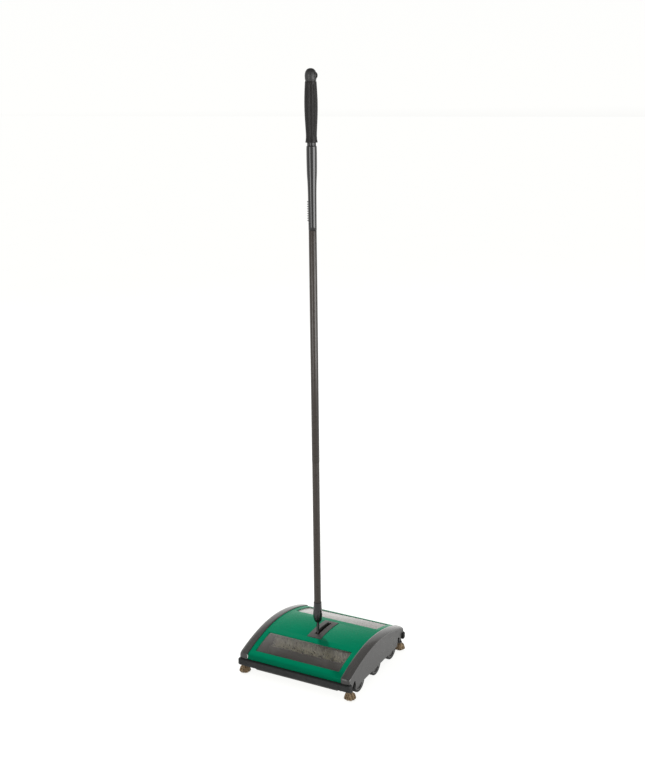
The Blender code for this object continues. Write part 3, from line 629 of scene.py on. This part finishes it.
def make_bumpers(materials):
    """Soft strips with rounded ends, a rounded section and a shallow groove along the middle."""
    middle = (BUMPER_BOTTOM + BUMPER_TOP) / 2
    half = (BUMPER_TOP - BUMPER_BOTTOM) / 2
    for label, end in ENDS:
        bm = bmesh.new()
        rows = []
        section = []
        for step in range(13):
            t = -1 + 2 * step / 12
            sunk = 0.0016 * abs(t) ** 6
            groove = 0.0004 if abs(t) < 0.1 else 0.0
            section.append((middle + half * t * (1 - 0.04 * abs(t) ** 8), sunk + groove))
        for z, sunk in section:
            outline = bumper_outline(BUMPER_HALF - sunk, end, sunk)
            rows.append([bm.verts.new((x, y, z)) for x, y in outline])
        for low, high in zip(rows, rows[1:]):
            for i in range(len(low)):
                j = (i + 1) % len(low)
                bm.faces.new((low[i], low[j], high[j], high[i]))
        bm.faces.new(rows[0])
        bm.faces.new(rows[-1])
        bumper = from_bmesh(f"bumper_strip_{label}", bm, materials["bumper"], 50)
        place(bumper, "base", "bumper", f"bumper_{label}")


def bumper_outline(half, end, sunk, radius=0.0050, segments=8):
    """Plan outline of a bumper at one height, with its outer face moved in by sunk."""
    far = end * (BUMPER_FAR - sunk)
    near = end * (BUMPER_NEAR + sunk * 0.2)
    corner = []
    for step in range(segments + 1):
        angle = step / segments * math.pi / 2
        corner.append((half - radius + radius * math.cos(angle),
                       far - end * radius + end * radius * math.sin(angle)))
    right = [(half, near)] + corner
    return right + [(-x, y) for x, y in reversed(right)]


def make_pivot_plate(materials):
    """Slotted plate that follows the arch a little proud of the cover, with a lip beside the slot."""
    bm = bmesh.new()
    arched_slab(bm, PLATE_HALF - PIECE_GAP, PLATE_FRONT + PIECE_GAP, PLATE_REAR - PIECE_GAP,
                -PLATE_PROUD, PLATE_DEPTH)
    plate = from_bmesh("pivot_plate_slotted", bm, materials["plate"])
    bm = bmesh.new()
    outline = rounded_rectangle((-SLOT_HALF, SLOT_FRONT), (SLOT_HALF, SLOT_REAR), SLOT_CORNER)
    extrude(bm, outline, "Z", *SLOT_CUT)
    cut(plate, bm)
    for _, side in SIDES:
        bm = bmesh.new()
        low, high = sorted((side * (SLOT_HALF + LIP_INNER), side * (SLOT_HALF + LIP_OUTER)))
        ys = [SLOT_FRONT + (SLOT_REAR - SLOT_FRONT) * step / 16 for step in range(17)]
        upper = [(y, arch(y) + PLATE_PROUD + LIP_PROUD) for y in ys]
        lower = [(y, arch(y) + PLATE_PROUD - LIP_SUNK) for y in reversed(ys)]
        extrude(bm, upper + lower, "X", low, high)
        cut(plate, bm, "UNION")
    bm = bmesh.new()
    front, rear = HANDLE_Y - PIN_GROOVE_HALF, HANDLE_Y + PIN_GROOVE_HALF
    top = PIVOT_Z + PIN_GROOVE_HALF
    low = SLOT_CUT[0]
    groove = [(front, low), (rear, low), (rear, top), (front, top)]
    extrude(bm, groove, "X", -PIN_GROOVE_REACH, PIN_GROOVE_REACH)
    cut(plate, bm)
    bevel(plate, 0.0003)
    weight_normals(plate)
    settle(plate)
    place(plate, "base", "plate", "pivot_plate")


def make_slot_shade_trough(materials):
    """Near-black trough that closes the pivot plate's slot from below: painted shade for the slot's shadowed
    inside.
    """
    front, rear = SLOT_FRONT - SHADE_TROUGH_REACH, SLOT_REAR + SHADE_TROUGH_REACH
    base = SHADE_TROUGH_FLOOR + SHADE_TROUGH_BASE
    trough = [(front, SHADE_TROUGH_FLOOR), (rear, SHADE_TROUGH_FLOOR), (rear, SHADE_TROUGH_TOP), (rear - SHADE_TROUGH_WALL, SHADE_TROUGH_TOP),
              (rear - SHADE_TROUGH_WALL, base), (front + SHADE_TROUGH_WALL, base), (front + SHADE_TROUGH_WALL, SHADE_TROUGH_TOP),
              (front, SHADE_TROUGH_TOP)]
    bm = bmesh.new()
    extrude(bm, trough, "X", -SHADE_TROUGH_HALF, SHADE_TROUGH_HALF)
    # near-black colour: painted shade inside the slot
    shade_trough = from_bmesh("black_and_painted_shade", bm, materials["slot"])
    place(shade_trough, "base", "plate")


# ---------------------------------------------------------------- wheels and brushes

def make_wheels(materials):
    """Six wheels: a dished grey hub with a raised rim, and a thin tyre with two grooves."""
    hub = [(0.0024, 0.0917), (0.0048, 0.0917), (0.0053, 0.0922), (0.0066, 0.1056), (0.0150, 0.1058),
           (0.0166, 0.1030), (0.0170, 0.1025), (TREAD_INNER, 0.1025), (TREAD_INNER, 0.1115),
           (0.0178, 0.1119), (0.0166, 0.1119), (0.0160, 0.1114), (0.0154, 0.1100), (0.0072, 0.1098),
           (0.0056, 0.1116), (0.0050, 0.1120), (0.0024, 0.1120)]
    groove = 0.0008
    tyre = [(TREAD_INNER, WHEEL_OUT - 0.0004), (0.0206, WHEEL_OUT), (0.0215, WHEEL_OUT - 0.0004)]
    for start in (WHEEL_OUT - 0.0012, WHEEL_OUT - 0.0045, WHEEL_OUT - 0.0078):
        tyre += [(WHEEL_RADIUS, start), (WHEEL_RADIUS, start - 0.0010),
                 (WHEEL_RADIUS - groove, start - 0.0013), (WHEEL_RADIUS - groove, start - 0.0022)]
    tyre = tyre[:-2]
    tyre += [(0.0215, WHEEL_IN + 0.0004), (0.0206, WHEEL_IN), (TREAD_INNER, WHEEL_IN + 0.0004)]
    for row, y in WHEEL_ROWS:
        for label, side in SIDES:
            centre = (0, y, WHEEL_RADIUS)
            bm = bmesh.new()
            lathe(bm, sided(hub, side), centre, "X", 64, True)
            piece = from_bmesh(f"hub_disc_{row}_{label}", bm, materials["hub"])
            place(piece, f"wheel_{row}_{label}", "hub", f"wheel_hub_{row}_{label}")
            bm = bmesh.new()
            lathe(bm, sided(tyre, side), centre, "X", 72, True, tread)
            piece = from_bmesh(f"tyre_band_{row}_{label}", bm, materials["tyre"], 50)
            place(piece, f"wheel_{row}_{label}", "tyre", f"wheel_tyre_{row}_{label}")


def tread(radius, _, angle):
    """Shallow cross grooves round the tyre."""
    if radius < WHEEL_RADIUS - 0.0001:
        return radius
    return radius - 0.0003 * (1 + math.cos(24 * angle)) / 2


def make_brush_rolls(materials):
    """Rolls of pale bristle in blocks along a dark core with drive pulleys at its ends."""
    half = [(0, AXLE_TIP), (0.0025, AXLE_TIP), (0.0025, 0.1117), (0.0122, 0.1117), (0.0125, 0.1114),
            (0.0125, 0.1023), (0.0122, 0.1020), (0.0040, 0.1020), (0.0040, 0.0850),
            (CORE_RADIUS - 0.0004, 0.0850), (CORE_RADIUS, 0.0846)]
    profile = half + [(radius, -x) for radius, x in reversed(half)]
    for label, end in ENDS:
        centre = (0, end * BRUSH_Y, BRUSH_Z)
        bm = bmesh.new()
        lathe(bm, profile, centre, "X", 48)
        core = from_bmesh(f"roll_core_{label}", bm, materials["chassis"])
        place(core, f"brush_roll_{label}", "chassis", f"brush_core_{label}")
        dice = random.Random(11 + end)
        bm = bmesh.new()
        pitch = 2 * BRISTLE_HALF / BRISTLE_BLOCKS
        for block in range(BRISTLE_BLOCKS):
            start = -BRISTLE_HALF + block * pitch
            for _ in range(BLOCK_BRISTLES):
                add_roll_bristle(bm, dice, centre, start, pitch)
        bristles = from_bmesh(f"roll_bristles_{label}", bm, materials["bristle"], 80)
        place(bristles, f"brush_roll_{label}", "bristle", f"brush_bristles_{label}")


def add_roll_bristle(bm, dice, centre, start, pitch):
    """Adds one strand that stands out from the core, a little fanned and uneven in length."""
    angle = dice.uniform(0, math.tau)
    x = start + dice.uniform(0.10, 0.90) * pitch
    fan = dice.gauss(0, 0.09)
    reach = BRISTLE_RADIUS - abs(dice.gauss(0, 0.0005))
    tip_x = min(max(x + dice.gauss(0, 0.0007), -BRISTLE_HALF), BRISTLE_HALF)
    root = Vector(centre) + Vector((x, CORE_RADIUS * math.cos(angle), CORE_RADIUS * math.sin(angle)))
    tip = Vector(centre) + Vector((tip_x, reach * math.cos(angle + fan), reach * math.sin(angle + fan)))
    strand(bm, root, tip, *ROLL_STRAND, dice.uniform(0, math.tau))


def make_corner_brushes(materials):
    """Round brushes that flare downwards from a small hub."""
    for end_label, end in ENDS:
        for side_label, side in SIDES:
            label = f"{end_label}_{side_label}"
            centre = Vector((side * CORNER_X, end * CORNER_Y, 0))
            dice = random.Random(40 + 3 * side + end)
            bm = bmesh.new()
            clumps = [math.tau * (step + dice.uniform(-0.3, 0.3)) / CORNER_CLUMPS
                      for step in range(CORNER_CLUMPS)]
            for _ in range(CORNER_BRISTLES):
                add_tuft_bristle(bm, dice, centre, clumps)
            tuft = from_bmesh(f"corner_tuft_{label}", bm, materials["tuft"], 80)
            place(tuft, f"corner_brush_{label}", "tuft", f"corner_bristles_{label}")
            hub = [(0.0018, 0.0197), (0.0048, 0.0197), (0.0053, 0.0192), (0.0053, 0.0176), (0.0049, 0.0170),
                   (0.0018, 0.0170)]
            bm = bmesh.new()
            lathe(bm, hub, centre, "Z", 32, True)
            piece = from_bmesh(f"corner_disc_{label}", bm, materials["hub"])
            place(piece, f"corner_brush_{label}", "hub", f"corner_hub_{label}")


def add_tuft_bristle(bm, dice, centre, clumps):
    """Adds one bent strand; the further out its root, the more it spreads."""
    clump = dice.choice(clumps)
    angle = clump + dice.gauss(0, 0.12)
    inner, outer = CORNER_ROOTS
    root_radius = dice.uniform(inner, outer)
    share = (root_radius - inner) / (outer - inner)
    spread = CORNER_SPREAD * (0.45 + 0.55 * share) * dice.uniform(0.88, 1.0)
    foot = CORNER_FOOT + abs(dice.gauss(0, 0.0005)) + 0.0003 * (1 + math.cos(clump * 3))
    root = centre + Vector((root_radius * math.cos(angle), root_radius * math.sin(angle), CORNER_TOP))
    tip = centre + Vector((spread * math.cos(angle), spread * math.sin(angle), foot))
    outward = Vector((math.cos(angle), math.sin(angle), 0))
    middle = root.lerp(tip, 0.45) + outward * 0.0014 + Vector((0, 0, 0.0006))
    turn = dice.uniform(0, math.tau)
    thick, thin = TUFT_STRAND
    strand(bm, root, middle, thick, thick, turn)
    strand(bm, middle, tip, thick, thin, turn)


def make_springs(materials):
    """Torsion springs on the pans' pins, with a straight leg at each end."""
    count = SPRING_TURNS * SPRING_STEPS
    coil = [(SPRING_LOW, SPRING_RADIUS, -0.0006)]
    for i in range(count + 1):
        angle = math.tau * i / SPRING_STEPS
        coil.append((SPRING_LOW + (SPRING_HIGH - SPRING_LOW) * i / count,
                     SPRING_RADIUS * math.cos(angle), SPRING_RADIUS * math.sin(angle)))
    coil.append((SPRING_HIGH, SPRING_RADIUS, 0.0012))
    for label, end in ENDS:
        curve = bpy.data.curves.new(f"spring_coil_{label}", "CURVE")
        curve.dimensions = "3D"
        curve.bevel_depth = SPRING_WIRE
        curve.bevel_resolution = 3
        curve.use_fill_caps = True
        spline = curve.splines.new("POLY")
        spline.points.add(len(coil) - 1)
        for point, (x, y, z) in zip(spline.points, coil):
            point.co = (x, end * PAN_PIN_Y + y, PAN_PIN_Z + z, 1.0)
        curve.materials.append(materials["steel"])
        spring = bpy.data.objects.new(f"spring_coil_{label}", curve)
        bpy.context.scene.collection.objects.link(spring)
        place(spring, "base", "steel", f"pan_spring_{label}")


# ---------------------------------------------------------------- handle

def handle_piece(name, profile, material, slot, nodes, segments=64, closed=True, shape=None, angle=35.0):
    """Turns a profile about the handle's axis into a piece of the handle."""
    bm = bmesh.new()
    lathe(bm, profile, (0, HANDLE_Y, 0), "Z", segments, closed, shape)
    piece = from_bmesh(name, bm, material, angle)
    place(piece, "handle", slot, *nodes)


def make_stalk(materials):
    """Steel rod with an eye round the pivot pin."""
    bm = bmesh.new()
    eye = [(0.0016, 0.0026), (0.0034, 0.0028), (0.0039, 0.0024), (0.0039, -0.0024), (0.0034, -0.0028),
           (0.0016, -0.0026)]
    lathe(bm, eye, (0, HANDLE_Y, PIVOT_Z), "X", 48, True)
    stalk = from_bmesh("stalk_rod", bm, materials["gloss"])
    rod = [(0, 0.1150), (0.0024, 0.1150), (0.00265, 0.1147), (0.00265, 0.0668), (0.0030, 0.0660),
           (0.0030, PIVOT_Z + 0.0020), (0, PIVOT_Z + 0.0020)]
    bm = bmesh.new()
    lathe(bm, rod, (0, HANDLE_Y, 0), "Z", 32)
    cut(stalk, bm, "UNION")
    place(stalk, "handle", "tube", "handle_stalk")


def make_socket(materials):
    """Tapered socket with a ribbed collar between the stalk and the lowest tube."""
    outer = smooth_profile([(0.0074, 0.1330), (0.0077, 0.1240), (0.0082, 0.1160), (0.0085, 0.1100),
                            (0.0084, 0.1040), (0.0076, 0.0975), (0.0056, 0.0938), (0.0045, 0.0925)], 5)
    profile = [(0.0070, 0.1333)] + outer + [(0.0031, 0.0925), (0.0031, 0.1170), (0.0068, 0.1172)]
    handle_piece("socket_collar", profile, materials["gloss"], "grip", ["handle_socket"], 72,
                 shape=collar_ribs)


def collar_ribs(radius, height, angle):
    """Soft ribs round the waist of the collar."""
    low, high = COLLAR_RIBS
    if low < height < high and radius > 0.0072:
        fade = math.sin(math.pi * (height - low) / (high - low))
        return radius + 0.00035 * fade * math.cos(10 * angle) - 0.0002
    return radius


def make_tubes(materials):
    """Lower two tubes in satin enamel and the upper one in gloss black, each over the one below."""
    lower = [(0.0048, 0.4350), (0.0048, 0.4104), (0.0063, 0.4100), (0.0066, 0.4096), (0.0066, 0.1178),
             (0.0060, 0.1175), (0.0057, 0.1178), (0.0057, 0.4080), (0.0039, 0.4090), (0.0039, 0.4350)]
    middle = [(0.0048, 0.8550), (0.0048, 0.8304), (0.0066, 0.8300), (0.0069, 0.8295), (0.0069, 0.4109),
              (0.0067, 0.4103), (0.0060, 0.4103), (0.0060, 0.8280), (0.0039, 0.8290), (0.0039, 0.8550)]
    upper = [(0.0060, 1.0700), (0.0060, 0.8303), (0.0051, 0.8303), (0.0051, 1.0700)]
    handle_piece("tube_lower", lower, materials["tube"], "tube", ["lower_tube"])
    handle_piece("tube_middle", middle, materials["tube"], "tube", ["middle_tube"])
    handle_piece("tube_upper", upper, materials["gloss"], "tube", ["upper_tube"])


def make_sleeve(materials):
    """Gloss sleeve with thumb ridges on its left and a notched neck under the grip."""
    outer = smooth_profile([(0.0068, 0.9780), (0.0068, 0.9738)], 2)
    outer += smooth_profile([(0.0086, 0.9730), (0.0090, 0.9700), (0.0091, 0.9600), (0.0090, 0.9420),
                             (0.0087, 0.9260), (0.0080, 0.9130), (0.0076, 0.8990), (0.0074, 0.8850),
                             (0.0072, 0.8400)], 6)
    profile = outer + [(0.0072, 0.8308), (0.0070, 0.8304), (0.0063, 0.8304), (0.0063, 0.9780)]
    bm = bmesh.new()
    lathe(bm, profile, (0, HANDLE_Y, 0), "Z", 64, True)
    outline = rounded_rectangle((-0.0087, HANDLE_Y - 0.0026), (-0.0064, HANDLE_Y + 0.0026), 0.0006, 3)
    for ridge in range(SLEEVE_RIDGES):
        z = 0.8460 + ridge * 0.0040
        extrude(bm, outline, "Z", z, z + 0.0020)
    for tab in range(SLEEVE_TABS):
        angle = math.tau * (tab + 0.35) / SLEEVE_TABS
        spin = Matrix.Translation((0, HANDLE_Y, 0)) @ Matrix.Rotation(angle, 4, "Z")
        before = set(bm.verts)
        extrude(bm, rounded_rectangle((0.0062, -0.0012), (0.0077, 0.0012), 0.0004, 2), "Z", 0.9728, 0.9782)
        bmesh.ops.transform(bm, matrix=spin, verts=[v for v in bm.verts if v not in before])
    sleeve = from_bmesh("sleeve_shell", bm, materials["gloss"])
    place(sleeve, "handle", "grip", "tube_sleeve")


def make_studs(materials):
    """Two small dark studs near the foot of the sleeve."""
    bm = bmesh.new()
    for angle in (-1.10, -2.17):
        direction = Vector((math.cos(angle), math.sin(angle), 0))
        centre = Vector((0, HANDLE_Y, 0.8415)) + direction * 0.0072
        turn = direction.to_track_quat("Z", "Y").to_matrix().to_4x4()
        before = set(bm.verts)
        lathe(bm, [(0, 0.0004), (0.0010, 0.0003), (0.0014, -0.0002), (0.0014, -0.0008), (0, -0.0008)],
              (0, 0, 0), "Z", 20)
        bmesh.ops.transform(bm, matrix=Matrix.Translation(centre) @ turn,
                            verts=[v for v in bm.verts if v not in before])
    studs = from_bmesh("sleeve_studs", bm, materials["slot"])
    place(studs, "handle", "grip")


def grip_shape(radius, height, angle):
    """Longitudinal grooves that fade out at both ends of the grip."""
    fade = min(1.0, max(0.0, (height - 0.9850) / 0.0070), max(0.0, (1.0765 - height) / 0.0040))
    phase = (angle * GRIP_GROOVES / math.tau + 0.42) % 1.0
    dip = math.exp(-((phase - 0.5) / 0.13) ** 2)
    return radius - 0.0010 * max(0.0, fade) * dip


def grip_radius(z):
    """Radius of the grip: flared at its foot, then swelling between two thin ends."""
    if z < 0.9900:
        return 0.0093 + 0.0013 * ((0.9900 - z) / 0.0115) ** 2
    return 0.0093 + 0.0020 * math.sin(math.pi * (z - 0.9900) / 0.1000) ** 1.3


def make_grip(materials):
    """Swelling grip with grooves along it."""
    heights = [GRIP_TOP - (GRIP_TOP - GRIP_FOOT) * step / 60 for step in range(61)]
    outer = [(grip_radius(z), z) for z in heights]
    outer[0] = (outer[0][0] - 0.0003, GRIP_TOP)
    profile = [(0, GRIP_TOP)] + outer + [(0.0101, 0.9785), (0.0063, 0.9785), (0.0063, 1.0703), (0, 1.0703)]
    handle_piece("grip_body", profile, materials["grip"], "grip", ["grip"], 160, False, grip_shape, 60)


def make_grip_cap(materials):
    """Domed end cap with a hanging eye on its right side."""
    dome = smooth_profile([(0.0001, 1.1000), (0.0035, 1.0994), (0.0066, 1.0975), (0.0088, 1.0942),
                           (0.0099, 1.0895), (0.0099, 1.0850), (0.0095, 1.0812)], 6)
    profile = [(0, 1.1000)] + dome + [(0.0090, 1.0806), (0.0090, 1.0800), (0.0094, 1.0796), (0.0093, 1.0788),
                                      (0, 1.0788)]
    bm = bmesh.new()
    lathe(bm, profile, (0, HANDLE_Y, 0), "Z", 64)
    cap = from_bmesh("cap_dome", bm, materials["cap"])
    bm = bmesh.new()
    eye = [(0.0030, 0.0050), (0.0050, 0.0050), (0.0050, 0.0104), (0.0044, 0.0110), (0.0036, 0.0110),
           (0.0030, 0.0104)]
    lathe(bm, eye, (0, HANDLE_Y, CAP_EYE_Z), "X", 40, True)
    cut(cap, bm, "UNION")
    bevel(cap, 0.0003, 2)
    weight_normals(cap)
    settle(cap)
    place(cap, "handle", "grip", "grip_cap")


def make_cap_eye_shade_plug(materials):
    """Near-black plug in the bottom of the hanging eye: painted shade inside the eye's hole."""
    bm = bmesh.new()
    lathe(bm, [(0, 0.0104), (0.0024, 0.0103), (0.0030, 0.0100), (0.0030, 0.0070), (0, 0.0070)],
          (0, HANDLE_Y, CAP_EYE_Z), "X", 32)
    # near-black plug: painted shade in the eye's hole
    hole = from_bmesh("cap_eye_shade_plug", bm, materials["slot"])
    place(hole, "handle", "grip")


# ---------------------------------------------------------------- CAD nodes that stay

def dress_cad(materials):
    """Gives each CAD node that still shows its material."""
    looks = {"chassis": "chassis", "pivot_pin": "steel"}
    for label, _ in ENDS:
        looks[f"dust_pan_{label}"] = "pan"
        looks[f"pan_pin_{label}"] = "steel"
        for side, _ in SIDES:
            looks[f"screw_{label}_{side}"] = "steel"
    for row, _ in WHEEL_ROWS:
        for side, _ in SIDES:
            looks[f"axle_{row}_{side}"] = "steel"
    for node, look in looks.items():
        for material_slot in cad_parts[node].material_slots:
            material_slot.material = materials[look]


# ---------------------------------------------------------------- studio

def make_floor():
    """Plain pale floor that stays bright."""
    mesh = bpy.data.meshes.new("floor")
    reach = 40.0
    mesh.from_pydata([(-reach, -reach, 0), (reach, -reach, 0), (reach, reach, 0), (-reach, reach, 0)], [],
                     [(0, 1, 2, 3)])
    material, tree, shader = new_material("floor_white")
    stops = [(0.3, (0.19, 0.19, 0.188)), (0.7, (0.20, 0.20, 0.198))]
    tree.links.new(ramp(tree, noise(tree, 3.0), stops), shader.inputs["Base Color"])
    shader.inputs["Roughness"].default_value = 1.0
    shader.inputs["Specular IOR Level"].default_value = 0.0
    shader.inputs["Emission Color"].default_value = (1.0, 1.0, 0.985, 1.0)
    shader.inputs["Emission Strength"].default_value = 0.92
    floor = add_object("floor", mesh, material)
    floor.visible_diffuse = False


def make_world():
    """Studio surround: bright at the horizon, dim overhead, and a soft fill from below the floor."""
    world = bpy.data.worlds.new("studio")
    bpy.context.scene.world = world
    world.use_nodes = True
    tree = world.node_tree
    background = tree.nodes["Background"]
    coords = tree.nodes.new("ShaderNodeTexCoord")
    split = tree.nodes.new("ShaderNodeSeparateXYZ")
    tree.links.new(coords.outputs["Generated"], split.inputs[0])
    height = map_range(tree, split.outputs["Z"], 0.0, 1.0, -1.0, 1.0)
    stops = [(0.46, (0.42, 0.42, 0.42)), (0.49, (1.0, 1.0, 0.985)), (0.585, (0.99, 0.99, 0.98)),
             (0.65, (0.80, 0.80, 0.80)), (0.77, (0.66, 0.66, 0.66)), (0.81, (0.22, 0.22, 0.22))]
    tree.links.new(ramp(tree, height, stops), background.inputs["Color"])
    background.inputs["Strength"].default_value = 1.0


def add_light(name, position, target, size, power, diffuse=True, glossy=True):
    light = bpy.data.lights.new(name, "AREA")
    light.shape = "RECTANGLE"
    light.size, light.size_y = size
    light.energy = power
    lamp = bpy.data.objects.new(name, light)
    bpy.context.scene.collection.objects.link(lamp)
    lamp.location = position
    lamp.rotation_mode = "QUATERNION"
    lamp.rotation_quaternion = (Vector(target) - Vector(position)).to_track_quat("-Z", "Y")
    lamp.visible_diffuse = diffuse
    lamp.visible_glossy = glossy


def make_lights():
    """A key from the upper left rear, and a tall soft panel on each side of the camera."""
    add_light("key", (-1.35, 1.33, 2.35), (0, -0.02, 0.05), (0.22, 0.22), 72.0, glossy=False)
    add_light("front_fill", (0.25, -1.70, 2.30), (0, -0.05, 0.03), (1.2, 1.2), 22.0, glossy=False)
    add_light("panel_left", (-0.42, -2.25, 0.75), (0, 0, 0.62), (0.8, 1.5), 18.0, diffuse=False)
    add_light("panel_right", (2.25, -0.40, 0.80), (0, 0, 0.62), (1.9, 1.6), 55.0, diffuse=False)


def make_camera():
    """Camera at the photograph's angle."""
    yaw = math.radians(28.451)
    pitch = math.radians(14.676)
    roll = math.radians(-0.658)
    forward = Vector((-math.sin(yaw) * math.cos(pitch), math.cos(yaw) * math.cos(pitch), -math.sin(pitch)))
    right = Vector((math.cos(yaw), math.sin(yaw), 0.0))
    up = right.cross(forward)
    turned_right = math.cos(roll) * right + math.sin(roll) * up
    turned_up = math.cos(roll) * up - math.sin(roll) * right
    data = bpy.data.cameras.new("camera")
    data.sensor_fit = "AUTO"
    data.sensor_width = 36.0
    data.lens = 52.86
    data.clip_end = 200.0
    camera = bpy.data.objects.new("camera", data)
    bpy.context.scene.collection.objects.link(camera)
    rotation = Matrix((turned_right, turned_up, -forward)).transposed()
    camera.matrix_world = Matrix.Translation((0.9485, -1.7424, 1.0654)) @ rotation.to_4x4()
    bpy.context.scene.camera = camera


def main():
    bpy.context.scene.view_settings.view_transform = "Standard"
    make_camera()
    make_world()
    make_lights()
    make_floor()
    materials = make_materials()
    make_cover(materials)
    make_windows(materials)
    make_end_caps(materials)
    make_bumpers(materials)
    make_pivot_plate(materials)
    make_slot_shade_trough(materials)
    make_wheels(materials)
    make_brush_rolls(materials)
    make_corner_brushes(materials)
    make_springs(materials)
    make_stalk(materials)
    make_socket(materials)
    make_tubes(materials)
    make_sleeve(materials)
    make_studs(materials)
    make_grip(materials)
    make_grip_cap(materials)
    make_cap_eye_shade_plug(materials)
    dress_cad(materials)


main()
